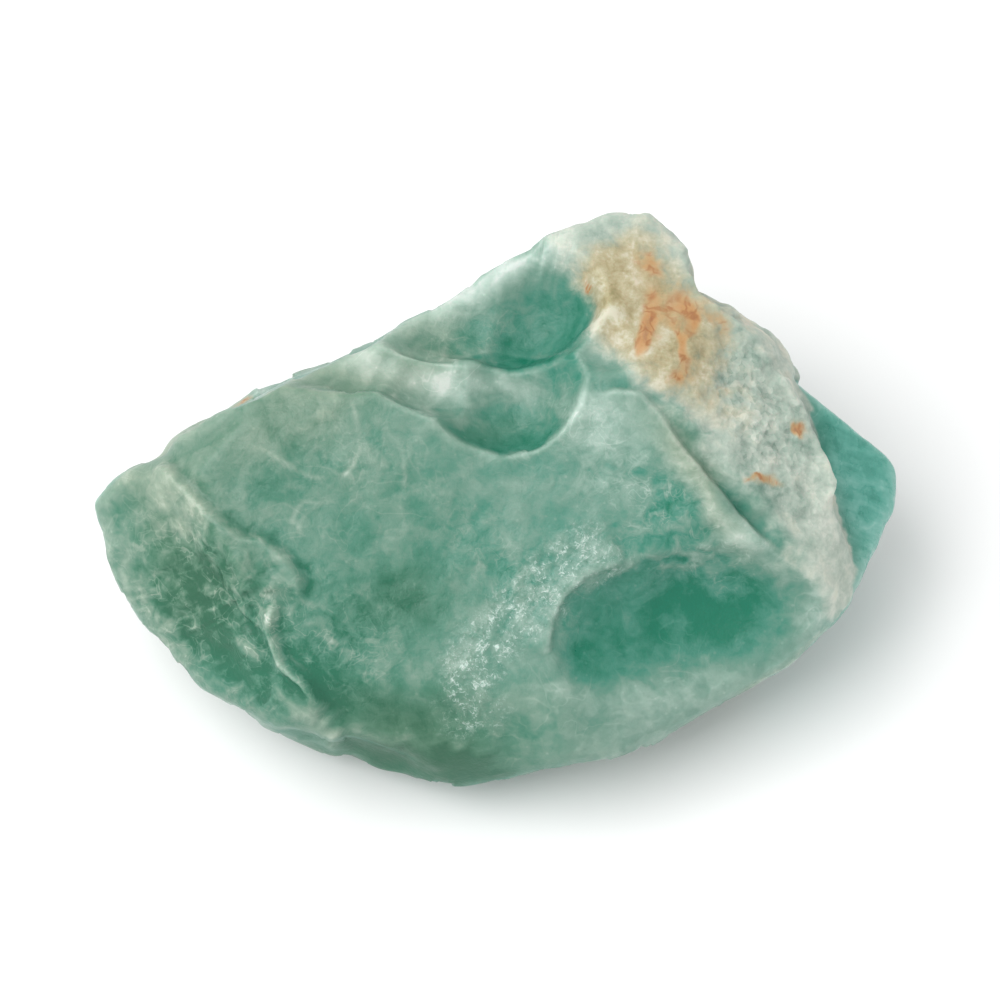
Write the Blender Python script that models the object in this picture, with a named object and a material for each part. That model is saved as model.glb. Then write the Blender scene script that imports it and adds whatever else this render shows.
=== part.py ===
"""One loose piece of rough amazonite, 122 mm long, resting on a small flat spot.

The stone is one solid. Its shape is worked out as a broken block: flat cleavage breaks bound three
overlapping bodies, bowl-shaped scars are taken out of them, and low relief is laid on top. All sizes are in
millimetres until the mesh is made. "Face" coordinates have x to the right along the broad face, y up that
face and z out of it; "ground" coordinates have z straight up from the surface that the stone rests on.
"""

import bpy
import numpy as np

MM = 0.001

# Driving sizes
FACE_LEAN = np.radians(62)
FACE_CENTRE_HEIGHT = 30.3
UNDERSIDE_SPARE = 3.0
EDGE_WEAR = 0.28
OUTLINE_WANDER = 1.3
TRIANGLES = 8200

# Grid that the surface is worked out on: cells along each edge of a box
GRID = (150, 112, 26)
CORE_CENTRE = np.array([4.0, 0.5, -9.0])
BOX_EDGES = np.array([[40.5, 22.0, 0.0], [-20.5, 21.0, 0.0], [0.0, 3.3, 17.0]])
CORE_SHARE = np.array([0.60, 0.60, 0.12])
LOWER_REACH = 0.5
BOX_ROUNDNESS = 4.0
FACE_SPREAD = 0.63

# Flat breaks that face the viewer: (bodies that the break bounds, a point on it, its direction, its
# waviness).
# Body m is the main block, k the knob at its top and s the spur that stands out at the right.
FACE_BREAKS = {
    "broad face": ("mk", (-8, 0, 14.6), (-0.02, -0.03, 1.0), 0.7),
    "left lobe": ("mk", (-33, -8, 14.9), (-0.36, -0.20, 0.91), 0.5),
    "lobe blades": ("mk", (-29, -26, 12.2), (-0.50, -0.26, 0.83), 0.5),
    "lobe outer": ("mk", (-47, -15, 8.8), (-0.68, -0.40, 0.62), 0.8),
    "lobe top": ("mk", (-51, 3.5, 8.2), (-0.52, 0.40, 0.72), 0.4),
    "upper bevel": ("mk", (-28, 18, 12.6), (-0.14, 0.36, 0.92), 0.9),
    "low flank": ("mk", (-16, -27, 12.6), (-0.10, -0.50, 0.86), 1.2),
    "foot": ("mk", (-10, -40.4, 4.5), (-0.05, -0.86, 0.50), 0.6),
    "right low": ("mk", (30, -12, 15.2), (0.26, -0.34, 0.90), 0.9),
    "wedge": ("mk", (18, 12, 16.2), (0.02, 0.13, 0.98), 0.8),
    "cap face": ("mk", (36, 8, 12.6), (0.34, 0.12, 0.92), 1.0),
    "cap top": ("mk", (22, 32, 10.4), (0.10, 0.36, 0.92), 0.7),
    "cap edge": ("mk", (53, -8, 5.0), (0.74, -0.12, 0.66), 0.7),
    "teal flank": ("s", (57, 5, -3.0), (0.62, 0.16, 0.77), 0.25),
    "spur lid": ("s", (40, 5, 1.0), (0.0, 0.0, 1.0), 0.0),
}

# Steep breaks that give the outline, clockwise from the upper left
RIM_BREAKS = {
    "upper left": ("mks", (-24, 21.3, 0), (-0.474, 0.881, 0.0), 0.5),
    "lobe corner": ("mks", (-57.3, 2, 0), (-0.72, 0.69, 0.0), 0.4),
    "left": ("mks", (-57.8, -5, 0), (-0.962, -0.273, 0.0), 0.5),
    "left low": ("mks", (-54.6, -13.5, 0), (-0.894, -0.447, 0.0), 0.5),
    "low left": ("mks", (-48, -22.9, 0), (-0.74, -0.67, 0.0), 0.5),
    "lower left": ("mks", (-33, -33, 0), (-0.426, -0.905, 0.0), 0.5),
    "bottom": ("mks", (-10, -43.6, 0), (-0.07, -0.998, 0.0), 0.4),
    "low right": ("mks", (14, -39.6, 0), (0.20, -0.98, 0.05), 0.5),
    "lower right": ("mks", (36, -30.6, 0), (0.48, -0.877, 0.05), 0.5),
    "right low": ("mks", (50, -21.2, 0), (0.70, -0.714, 0.05), 0.5),
    "cap side low": ("mk", (56, -13.6, 0), (0.89, -0.46, 0.0), 0.4),
    "cap side": ("mk", (56, -1.8, 0), (0.974, 0.17, 0.16), 0.7),
    "cap side up": ("mk", (50.6, 12.6, 0), (0.84, 0.52, 0.14), 0.6),
    "cap shoulder": ("mk", (46.2, 20.6, 0), (0.95, 0.30, 0.05), 0.5),
    "cap right": ("m", (39.0, 27.6, 0), (0.57, 0.82, 0.05), 0.5),
    "knob right": ("k", (31, 36.2, 0), (0.96, 0.28, 0.0), 0.5),
    "knob shoulder": ("k", (27.6, 41.8, 0), (0.74, 0.67, 0.0), 0.4),
    "top": ("mks", (21, 44.2, 0), (-0.10, 1.0, 0.0), 0.5),
    "spur low": ("s", (61.2, -4.6, 0), (0.924, -0.381, 0.0), 0.4),
    "spur tip": ("s", (64, 2.7, 0), (1.0, 0.0, 0.0), 0.3),
    "spur up": ("s", (54.8, 12.6, 0), (0.612, 0.791, 0.0), 0.4),
}

# Breaks of the back and the underside, in ground coordinates
HIDDEN_BREAKS = {
    "back wall": ("mks", (2, 41, 40), (0.04, 1.0, 0.10), 1.2),
    "back left": ("mks", (-38, 25, 25), (-0.62, 0.76, -0.20), 1.2),
    "under left": ("mks", (-50, -10, 13), (-0.70, -0.25, -0.67), 1.0),
    "back right": ("mks", (47, 25, 22), (0.66, 0.72, -0.20), 1.2),
    "under back": ("mks", (4, 36, 10), (0.0, 0.72, -0.70), 1.0),
    "under front": ("mks", (5, -39, 8), (0.10, -0.85, -0.50), 0.8),
    "under right": ("mks", (60, 2, 13), (0.78, -0.10, -0.62), 1.0),
    "sole front": ("mks", (4, -18, 0), (0.05, -0.30, -0.95), 0.7),
    "sole back": ("mks", (4, 21, 0), (0.0, 0.36, -0.93), 0.7),
    "sole left": ("mks", (-21, 0, 0), (-0.32, -0.04, -0.95), 0.7),
    "sole right": ("mks", (29, 4, 0), (0.32, -0.05, -0.95), 0.7),
    "sole left low": ("mks", (-15, -14, 0), (-0.22, -0.24, -0.95), 0.7),
    "sole right low": ("mks", (24, -12, 0), (0.22, -0.24, -0.95), 0.7),
}

# Smaller breaks scattered round the back, each a little inside the block
CHIP_COUNT = 30
CHIP_INSET = (0.4, 2.6)
CHIP_WAVE = 0.5
CHIP_SEED = 5

# Bowl-shaped scars: (a point on the old surface, opening direction, long direction, half length, half width,
# depth). The first group is in face coordinates and the second in ground coordinates.
SCAR_WANDER = 0.9
FACE_SCARS = {
    "dish": ((-10, -6, 15.0), (0.02, -0.02, 1.0), (1, -0.10, 0), 40, 22, 1.8),
    "shelf": ((-17, 20.4, 11.6), (-0.12, 0.58, 0.80), (0.99, -0.10, 0), 16, 4.6, 2.8),
    "lower scoop": ((3.9, 13.7, 12.8), (-0.14, 0.56, 0.82), (0.98, 0.12, 0), 9.4, 8.4, 5.6),
    "lower scoop's left": ((-3.4, 16.6, 12.8), (-0.12, 0.56, 0.82), (0.94, -0.33, 0), 11.5, 5.4, 4.3),
    "upper scoop": ((6.4, 25.9, 8.6), (-0.16, 0.56, 0.81), (1, 0.26, 0), 10.2, 7.8, 6.2),
    "upper scoop's left": ((-1.6, 26.6, 8.5), (-0.12, 0.57, 0.81), (1, -0.08, 0), 14.5, 7.4, 5.2),
    "wedge back": ((18, 22.4, 15.0), (-0.05, 0.60, 0.80), (0.95, -0.30, 0), 8, 4.6, 2.0),
    "hollow apron": ((31, -6.6, 14.6), (0.10, -0.26, 0.96), (1, -0.25, 0), 15, 7, 1.5),
    "green hollow": ((28, -17, 12.8), (0.24, -0.28, 0.93), (1, 0.02, 0), 24, 12.5, 6.2),
}
HIDDEN_SCARS = {
    "back scoop": ((12, 41, 36), (0.15, 0.95, 0.25), (1, 0.1, 0), 24, 15, 4.0),
    "left scoop": ((-46, 16, 30), (-0.62, 0.76, 0.10), (0.7, 0.6, -0.3), 18, 11, 3.0),
    "right scoop": ((58, -8, 18), (0.86, -0.35, -0.30), (0.3, 0.9, 0.2), 14, 9, 2.6),
    "front scoop": ((-20, -35, 14), (-0.3, -0.9, -0.1), (1, -0.3, 0), 20, 9, 2.6),
}

# Ledges across the face: (line that the ledge's edge follows, height, reach). The raised side is on the right
# of the line.
LEDGES = {
    "lobe lip": (((-50.3, 7.2), (-46.5, 4.9), (-42.5, 1.4), (-38.9, -2.2), (-35.2, -4.9), (-32.5, -5),
                  (-28.9, -7.7), (-27.2, -10.4), (-27, -13.2), (-27.7, -16)), 1.9, 8.0),
    "first blade": (((-31.2, -14), (-31, -19), (-29.6, -23), (-26, -26.1), (-23.8, -29.7), (-22.8, -33.5),
                     (-21.8, -38)), 3.0, 1.5),
    "second blade": (((-37.5, -16), (-35.1, -20), (-32.8, -24.8), (-29.7, -27), (-25.6, -30.2),
                      (-21.9, -34.6), (-20.4, -38)), 3.0, 1.6),
    "low blade": (((-51, -14.5), (-44.5, -22.5), (-38, -27), (-31, -31.6), (-26, -36)), 0.8, 3.0),
    "foot lip": (((3.5, -37.5), (-5.5, -36.5), (-12.5, -35.5), (-22.5, -34)), 1.2, 3.5),
    "hollow lip": (((22, -8.2), (16.2, -10.6), (12.6, -13.5), (10.4, -17.1), (9.5, -23)), 1.3, 4.0),
    "wedge edge": (((15, 16), (19.3, 16.8), (23.3, 16.3), (26.1, 13.5), (29, 9.5), (33.3, 4.5), (36.9, 0.5),
                    (41, -4), (45.7, -8.6), (49, -12)), 1.1, 5.0),
}
LEDGE_EDGE = 0.55

# The rough lobe lies to the right of this line. Low steps cross it, in the direction that they rise.
LOBE_EDGE = ((-58, 10), (-47.7, 4.9), (-40.1, -2.2), (-33.7, -5.5), (-29.5, -9), (-29.5, -15), (-31, -21),
             (-28, -25.5), (-24.5, -31), (-22, -40))
LOBE_STEP_WAY = (0.90, 0.40)
LOBE_STEP_SPACING = 4.6
LOBE_STEP_HEIGHT = 0.5
LOBE_LUMPS = (4.5, 1.0)

# Grooves across the face: (line, depth, half width)
GROOVES = {
    "cap groove": (((22, 18.5), (26, 13.4), (29.8, 8.8), (34, 4), (38.5, -1), (43, -6), (48, -10.5)),
                   1.0, 1.9),
    "cap crease": (((31.5, 7.4), (36, 2.4), (38.5, -0.6), (42.5, -4), (47.5, -9)), 0.7, 0.9),
}

# Bites out of the outline: (place, depth, width)
BITES = {
    "lobe notch": ((-50.8, 7.2), 1.9, 3.0),
    "shelf dip": ((-17.5, 22.8), 2.2, 6.5),
    "scoop dip": ((-7, 29.3), 2.3, 5.5),
    "cap dip": ((40, 28), 1.1, 4.0),
    "knob notch": ((31.5, 32.4), 1.0, 3.0),
}

# The weathered rind lies to the left of this line
RIND_EDGE = ((9, 41), (14.5, 32.5), (17.5, 26), (22, 19), (27, 14.5), (36, 4), (45, -7), (53, -17))
RIND_LUMPS = (6.5, 1.5)
RIND_PITS = (3.4, 0.5)

# Ledges that cleavage leaves round the sides, parallel to the broad face
CLEAVAGE_SPACING = 8.0
CLEAVAGE_HEIGHT = 1.6
SIDE_LUMPS = (9.0, 0.7)
FACE_WAVES = (13.0, 0.4)

LATTICE = 24


def unit(direction):
    """A direction scaled to length one."""
    direction = np.asarray(direction, float)
    return direction / np.linalg.norm(direction)


def ground_to_face(point):
    """A point or direction in ground coordinates, as face coordinates about the same origin."""
    x, y, z = point
    sine, cosine = np.sin(FACE_LEAN), np.cos(FACE_LEAN)
    return np.array([x, y * sine + z * cosine, z * sine - y * cosine], float)


def face_to_ground(points):
    """Rows of face coordinates as ground coordinates about the same origin."""
    x, y, z = points.T
    sine, cosine = np.sin(FACE_LEAN), np.cos(FACE_LEAN)
    return np.stack([x, y * sine - z * cosine, y * cosine + z * sine], -1)


def ground_place(point):
    """A point given from the resting surface, as face coordinates."""
    x, y, z = point
    return ground_to_face((x, y, z - FACE_CENTRE_HEIGHT))


def smooth(start, stop, value):
    """0 before start, 1 after stop, with an S-shaped rise between them."""
    share = np.clip((value - start) / (stop - start), 0, 1)
    return share * share * (3 - 2 * share)


def waves(points, size, seed):
    """Smooth random heights from -1 to 1, one for each point, about size millimetres from hill to dale."""
    lattice = np.random.default_rng(seed).uniform(-1, 1, (LATTICE,) * 3)
    place = points / size + 100.0
    low = np.floor(place).astype(int)
    share = place - low
    share = share**3 * (share * (share * 6 - 15) + 10)
    low %= LATTICE
    high = (low + 1) % LATTICE
    total = np.zeros(len(points))
    for corner in np.ndindex(2, 2, 2):
        index = [np.where(corner[k], high[:, k], low[:, k]) for k in range(3)]
        weight = [share[:, k] if corner[k] else 1 - share[:, k] for k in range(3)]
        total += lattice[index[0], index[1], index[2]] * weight[0] * weight[1] * weight[2]
    return total


def rough_waves(points, size, seed, octaves):
    """Waves with smaller and lower waves on them, each octave half the size and height of the last."""
    shares = 0.5 ** np.arange(octaves)
    heights = [share * waves(points, size * share, seed + k) for k, share in enumerate(shares)]
    return sum(heights) / shares.sum()


def box_grid(counts):
    """Points on a box from -1 to 1, as a closed grid with the given cells along each edge, and its quads."""
    keys, quads, total = [], [], 0
    for axis in range(3):
        along, across = [k for k in range(3) if k != axis]
        for end in (0, counts[axis]):
            rows, columns = np.meshgrid(np.arange(counts[along] + 1), np.arange(counts[across] + 1),
                                        indexing="ij")
            key = np.zeros(rows.shape + (3,), int)
            key[..., along], key[..., across], key[..., axis] = rows, columns, end
            index = total + np.arange(rows.size).reshape(rows.shape)
            total += rows.size
            keys.append(key.reshape(-1, 3))
            quad = np.stack([index[:-1, :-1], index[1:, :-1], index[1:, 1:], index[:-1, 1:]], -1)
            turned = (end == 0) != (axis == 1)
            quads.append(quad.reshape(-1, 4)[:, ::-1] if turned else quad.reshape(-1, 4))
    corners, back = np.unique(np.concatenate(keys), axis=0, return_inverse=True)
    return corners / np.array(counts) * 2 - 1, back.reshape(-1)[np.concatenate(quads)]


def rays(counts):
    """For each grid point, where its ray leaves a small core, its direction and its place on a rough hull."""
    box, quads = box_grid(counts)
    box = np.tan(box * FACE_SPREAD) / np.tan(FACE_SPREAD)
    radius = (np.abs(box) ** BOX_ROUNDNESS).sum(1) ** (1 / BOX_ROUNDNESS)
    ball = box / radius[:, None]
    start = CORE_CENTRE + (ball * CORE_SHARE) @ BOX_EDGES
    reach = np.ones_like(ball)
    reach[:, 2] = np.where(ball[:, 2] < 0, LOWER_REACH, 1)
    step = (ball * (1 - CORE_SHARE) * reach) @ BOX_EDGES
    return start, step / np.linalg.norm(step, axis=1)[:, None], start + step, quads


def to_plane(start, ray, direction, offset):
    """How far along each ray a plane is; far away for a ray that runs away from it."""
    rate = ray @ direction
    far = 1e3
    return np.where(rate > 0.01, (offset - start @ direction) / np.maximum(rate, 0.01), far)


def to_bowl(start, ray, wander, place, opening, along, length, width, depth):
    """How far along each ray the wall of a bowl is: a paraboloid that is deepest under its place, and whose
    wall wanders by a little."""
    long_way = unit(along - (along @ opening) * opening)
    cross_way = np.cross(opening, long_way)
    rel = start - place
    up, u, v = rel @ opening, rel @ long_way, rel @ cross_way
    d_up, d_u, d_v = ray @ opening, ray @ long_way, ray @ cross_way
    square = depth * (d_u**2 / length**2 + d_v**2 / width**2)
    linear = d_up - 2 * depth * (u * d_u / length**2 + v * d_v / width**2)
    level = up + depth + wander - depth * (u**2 / length**2 + v**2 / width**2)
    inside = linear**2 + 4 * square * level
    root = np.sqrt(np.maximum(inside, 0))
    far = 1e3
    return np.where((inside > 0) & (linear > 0), -2 * level / (linear + root + 1e-9), far)


def worn_least(*distances):
    """The least of several distances, with the edges between them rounded by the edge wear."""
    stack = np.stack(distances)
    least = stack.min(0)
    return least - EDGE_WEAR * np.log(np.exp((least - stack) / EDGE_WEAR).sum(0))


def block_depths(start, ray, hull):
    """Distance along each ray to the broken block, and whether the spur is the outermost body there."""
    breaks = [(bodies, unit(way), np.array(place, float), wave)
              for table in (FACE_BREAKS, RIM_BREAKS) for bodies, place, way, wave in table.values()]
    breaks += [(bodies, unit(ground_to_face(way)), ground_place(place), wave)
               for bodies, place, way, wave in HIDDEN_BREAKS.values()]
    underside = ground_to_face((0, 0, -1))
    breaks.append(("mks", underside, ground_place((0, 0, -UNDERSIDE_SPARE)), 0.0))
    planes = []
    for seed, (bodies, way, place, wave) in enumerate(breaks):
        wander = OUTLINE_WANDER * wave * rough_waves(hull, 22, 100 + 7 * seed, 2)
        planes.append((bodies, to_plane(start, ray, way, place @ way + wander)))
    bodies = np.stack([worn_least(*[plane for names, plane in planes if body in names]) for body in "mks"])
    return bodies.max(0), bodies.argmax(0) == 2


def chip_directions():
    """Random directions round the sides and the back, away from the face and the resting spot."""
    random = np.random.default_rng(CHIP_SEED)
    down = ground_to_face((0, 0, -1))
    found = []
    while len(found) < CHIP_COUNT:
        way = unit(random.normal(0, 1, 3) * (1, 1, 0.6))
        if way[2] < -0.22 and way @ down < 0.80:
            found.append((way, random.uniform(*CHIP_INSET)))
    return found


def base_surface(counts):
    """The block with its chips and scars, before the low relief: points, rays, quads, spur flags."""
    start, ray, hull, quads = rays(counts)
    depth, spur = block_depths(start, ray, hull)
    block = start + ray * depth[:, None]
    for number, (way, inset) in enumerate(chip_directions()):
        offset = (block @ way).max() - inset + CHIP_WAVE * rough_waves(hull, 15, 400 + number, 2)
        depth = worn_least(depth, to_plane(start, ray, way, offset))
    scars = [(np.array(place, float), unit(opening), np.array(along, float), *sizes)
             for place, opening, along, *sizes in FACE_SCARS.values()]
    scars += [(ground_place(place), unit(ground_to_face(opening)), ground_to_face(along), *sizes)
              for place, opening, along, *sizes in HIDDEN_SCARS.values()]
    for number, scar in enumerate(scars):
        wander = SCAR_WANDER * rough_waves(hull, 11, 300 + number, 3)
        depth = worn_least(depth, to_bowl(start, ray, wander, *scar))
    return start + ray * depth[:, None], ray, quads, spur


def outward(points, quads):
    """Unit normals of the grid's points."""
    corners = points[quads]
    faces = np.cross(corners[:, 2] - corners[:, 0], corners[:, 3] - corners[:, 1])
    normals = np.zeros_like(points)
    for corner in range(4):
        np.add.at(normals, quads[:, corner], faces)
    return normals / np.linalg.norm(normals, axis=1)[:, None]


def spread(values, quads, rounds):
    """Values of the grid's points, each averaged with its neighbours a few times."""
    shared = np.bincount(quads.ravel(), minlength=len(values))
    for _ in range(rounds):
        middle = np.repeat(values[quads].mean(1), 4)
        values = np.bincount(quads.ravel(), weights=middle, minlength=len(values)) / shared
    return values


def beside_line(x, y, line):
    """Distance from a line on the face, positive on its left, and the share of its length passed."""
    line = np.array(line, float)
    steps = np.diff(line, axis=0)
    lengths = np.linalg.norm(steps, axis=1)
    nearest = np.full(x.shape, np.inf)
    side = np.ones_like(x)
    share = np.zeros_like(x)
    for k, (step, length) in enumerate(zip(steps / lengths[:, None], lengths)):
        dx, dy = x - line[k, 0], y - line[k, 1]
        passed = np.clip(dx * step[0] + dy * step[1], 0, length)
        apart = np.hypot(dx - passed * step[0], dy - passed * step[1])
        closer = apart < nearest
        nearest = np.where(closer, apart, nearest)
        side = np.where(closer, np.where(step[0] * dy - step[1] * dx >= 0, 1.0, -1.0), side)
        share = np.where(closer, (lengths[:k].sum() + passed) / lengths.sum(), share)
    return nearest * side, share


def line_relief(points, on_face):
    """Ledges and grooves: each follows its line and dies out at both ends. Grooves vary in depth."""
    x = points[:, 0] + 0.5 * waves(points, 7, 61)
    y = points[:, 1] + 0.5 * waves(points, 7, 62)
    height = np.zeros(len(points))
    for line, rise, reach in LEDGES.values():
        beside, share = beside_line(x, y, line)
        ends = smooth(0, 0.12, share) * smooth(1, 0.88, share)
        slope = np.where(beside > 0, 1, np.exp(beside / reach))
        height += rise * ends * slope * smooth(LEDGE_EDGE, -LEDGE_EDGE, beside)
    broken = 0.7 + 0.6 * waves(points, 5, 64)
    for line, drop, half_width in GROOVES.values():
        beside, share = beside_line(x, y, line)
        ends = smooth(0, 0.15, share) * smooth(1, 0.85, share)
        height -= drop * broken * ends * np.exp(-((beside / half_width) ** 2))
    return height * on_face


def stairs(level, rise):
    """Steps one high for each whole number, less the slope that they climb; each riser takes up a rise."""
    fraction = level - np.floor(level)
    return smooth(0, rise, fraction) - fraction


def lobe_relief(points, on_face):
    """Low steps and lumps on the lobe, which lies to the right of its edge line; its top is smooth."""
    beside, _ = beside_line(points[:, 0], points[:, 1], LOBE_EDGE)
    level = points[:, :2] @ np.array(LOBE_STEP_WAY) / LOBE_STEP_SPACING + 1.6 * rough_waves(points, 11, 71, 2)
    height = LOBE_STEP_HEIGHT * (stairs(level, 0.35) + 0.35)
    height += LOBE_LUMPS[1] * rough_waves(points, LOBE_LUMPS[0], 75, 3)
    return height * on_face * smooth(-0.5, -2.5, beside) * smooth(3, -5, points[:, 1])


def rind_relief(points, spur):
    """Lumps and pits of the weathered rind, which covers the cap but not the spur; it is rougher low down."""
    beside, _ = beside_line(points[:, 0], points[:, 1], RIND_EDGE)
    rind = smooth(-1.0, 2.5, beside + 1.5 * waves(points, 6, 63)) * smooth(-16, -9, points[:, 2]) * ~spur
    rough = 0.55 + 0.45 * smooth(28, 16, points[:, 1])
    lumps = RIND_LUMPS[1] * rough_waves(points, RIND_LUMPS[0], 11, 3)
    pits = RIND_PITS[1] * np.abs(rough_waves(points, RIND_PITS[0], 17, 2))
    return rind * rough * (lumps + pits)


def side_relief(points, steep):
    """Ledges parallel to the broad face, lumps, and the bites out of the outline, on steep sides."""
    ground = face_to_ground(points)
    level = points[:, 2] / CLEAVAGE_SPACING + rough_waves(ground, 30, 31, 2) + 0.3 * waves(ground, 7, 35)
    height = CLEAVAGE_HEIGHT * (stairs(level, 0.4) + 0.35) * smooth(-0.10, 0.45, waves(ground, 14, 36))
    height += SIDE_LUMPS[1] * rough_waves(ground, SIDE_LUMPS[0], 41, 3)
    for (x, y), depth, width in BITES.values():
        height -= depth * np.exp(-((points[:, 0] - x) ** 2 + (points[:, 1] - y) ** 2) / width**2)
    return height * steep


def stone_surface(counts):
    """The finished surface in ground coordinates, in millimetres, with its underside still rough."""
    points, ray, quads, spur = base_surface(counts)
    normals = outward(points, quads)
    facing = spread(smooth(0.20, 0.50, normals[:, 2]), quads, 4)
    spur_face = spread(smooth(-26, -16, points[:, 2]) * spur, quads, 3)
    steep = (1 - facing) * (1 - spur_face)
    on_face = facing * smooth(-8, 0, points[:, 2])
    height = line_relief(points, on_face)
    height += lobe_relief(points, on_face)
    height += rind_relief(points, spur)
    height += side_relief(points, steep)
    height += facing * FACE_WAVES[1] * rough_waves(points, FACE_WAVES[0], 51, 2)
    way = ray + normals
    points = points + way / np.linalg.norm(way, axis=1)[:, None] * height[:, None]
    points = np.stack([spread(points[:, k], quads, 1) for k in range(3)], -1)
    ground = face_to_ground(points)
    ground[:, 2] += FACE_CENTRE_HEIGHT
    return ground, quads


def stone_material():
    """Blue-green feldspar: an uneven waxy break."""
    material = bpy.data.materials.new("amazonite")
    material.use_nodes = True
    shader = material.node_tree.nodes["Principled BSDF"]
    shader.inputs["Base Color"].default_value = (0.165, 0.305, 0.235, 1)
    shader.inputs["Roughness"].default_value = 0.55
    shader.inputs["Metallic"].default_value = 0.0
    return material


def add_mesh(name, points, faces):
    """An object at the origin whose mesh holds the given points, in metres, and faces."""
    mesh = bpy.data.meshes.new(name)
    mesh.from_pydata(points.tolist(), [], faces.tolist())
    stone = bpy.data.objects.new(name, mesh)
    bpy.context.scene.collection.objects.link(stone)
    return stone


def ground_cutter(low, high):
    """A slab whose top is the resting surface; it cuts the stone's rough underside flat."""
    margin, thickness = 10.0, 20.0
    corners, faces = box_grid((1, 1, 1))
    middle = (low + high) / 2
    half = (high - low) / 2 + margin
    points = middle + corners * half
    points[:, 2] = np.where(corners[:, 2] > 0, 0, -thickness)
    cutter = add_mesh("ground_cut", points * MM, faces)
    cutter.hide_render = True
    cutter.display_type = "WIRE"
    return cutter


def build_stone():
    """The stone, thinned to a light faceted solid and cut flat where it rests."""
    points, quads = stone_surface(GRID)
    above = points[points[:, 2] > 0]
    points[:, :2] -= (above.min(0) + above.max(0))[:2] / 2
    stone = add_mesh("amazonite_stone", points * MM, quads)
    stone.data.materials.append(stone_material())
    thin = stone.modifiers.new("thin", "DECIMATE")
    thin.ratio = TRIANGLES / (2 * len(quads))
    rest = stone.modifiers.new("rest", "BOOLEAN")
    rest.object = ground_cutter(points.min(0), points.max(0))
    return stone


for old in list(bpy.data.objects):
    bpy.data.objects.remove(old, do_unlink=True)
build_stone()
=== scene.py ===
import bpy
import numpy as np
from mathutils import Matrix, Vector


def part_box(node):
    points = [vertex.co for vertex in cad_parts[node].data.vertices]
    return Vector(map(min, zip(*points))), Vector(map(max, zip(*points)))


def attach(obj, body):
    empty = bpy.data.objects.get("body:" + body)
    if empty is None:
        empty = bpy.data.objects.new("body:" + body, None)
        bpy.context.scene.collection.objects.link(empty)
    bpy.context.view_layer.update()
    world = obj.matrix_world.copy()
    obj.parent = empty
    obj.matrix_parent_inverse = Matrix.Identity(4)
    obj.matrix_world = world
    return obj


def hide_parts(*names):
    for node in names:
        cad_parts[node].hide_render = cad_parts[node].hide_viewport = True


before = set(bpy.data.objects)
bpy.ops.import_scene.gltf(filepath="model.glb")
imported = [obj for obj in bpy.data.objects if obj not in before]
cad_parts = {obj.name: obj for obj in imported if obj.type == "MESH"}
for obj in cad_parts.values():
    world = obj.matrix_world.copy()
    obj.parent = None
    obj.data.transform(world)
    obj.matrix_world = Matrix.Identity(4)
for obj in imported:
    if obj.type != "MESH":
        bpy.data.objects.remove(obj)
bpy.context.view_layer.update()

# The broken block.
# The real piece is one lump of feldspar, split off a larger crystal along its cleavage and knocked about
# since. Flat breaks bound it, and a knob at its top and a spur at its right stand out of the main block.

# Sizes are in millimetres. Face coordinates have x along the broad face, y up it and z out of it; ground
# coordinates have z straight up from the resting surface.
MM = 0.001
FACE_LEAN = np.radians(62)
FACE_CENTRE_HEIGHT = 30.3

# Depth worked out below the resting surface, the wear of the edges between breaks, and how breaks wander:
# (size, amount)
UNDERSIDE_SPARE = 3.0
EDGE_WEAR = 0.28
OUTLINE_WANDER = (22, 1.3)

# Grid that the surface is worked out on: cells along each edge of a box. Each point's ray starts on a small
# core and runs out past a box with rounded corners, whose three half edges are the rows of BOX_EDGES.
GRID = (220, 164, 32)
CORE_CENTRE = np.array([4.0, 0.5, -9.0])
BOX_EDGES = np.array([[40.5, 22.0, 0.0], [-20.5, 21.0, 0.0], [0.0, 3.3, 17.0]])
CORE_SHARE = np.array([0.60, 0.60, 0.12])
LOWER_REACH = 0.5
BOX_ROUNDNESS = 4.0
FACE_SPREAD = 0.63

# Flat breaks that face the viewer: (bodies that the break bounds, a point on it, its direction, its
# waviness). Body m is the main block, k the knob at its top and s the spur that stands out at the right.
FACE_BREAKS = {
    "broad face": ("mk", (-8, 0, 14.6), (-0.02, -0.03, 1.0), 0.7),
    "left lobe": ("mk", (-33, -8, 14.9), (-0.36, -0.20, 0.91), 0.5),
    "lobe blades": ("mk", (-29, -26, 12.2), (-0.50, -0.26, 0.83), 0.5),
    "lobe outer": ("mk", (-47, -15, 8.8), (-0.68, -0.40, 0.62), 0.8),
    "lobe top": ("mk", (-51, 3.5, 8.2), (-0.52, 0.40, 0.72), 0.4),
    "upper bevel": ("mk", (-28, 18, 12.6), (-0.14, 0.36, 0.92), 0.9),
    "low flank": ("mk", (-16, -27, 12.6), (-0.10, -0.50, 0.86), 1.2),
    "foot": ("mk", (-10, -40.4, 4.5), (-0.05, -0.86, 0.50), 0.6),
    "right low": ("mk", (30, -12, 15.2), (0.26, -0.34, 0.90), 0.9),
    "wedge": ("mk", (18, 12, 16.2), (0.02, 0.13, 0.98), 0.8),
    "cap face": ("mk", (36, 8, 12.6), (0.34, 0.12, 0.92), 1.0),
    "cap top": ("mk", (22, 32, 10.4), (0.10, 0.36, 0.92), 0.7),
    "cap edge": ("mk", (53, -8, 5.0), (0.74, -0.12, 0.66), 0.7),
    "teal flank": ("s", (57, 5, -3.0), (0.62, 0.16, 0.77), 0.25),
    "spur lid": ("s", (40, 5, 1.0), (0.0, 0.0, 1.0), 0.0),
}

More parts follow.
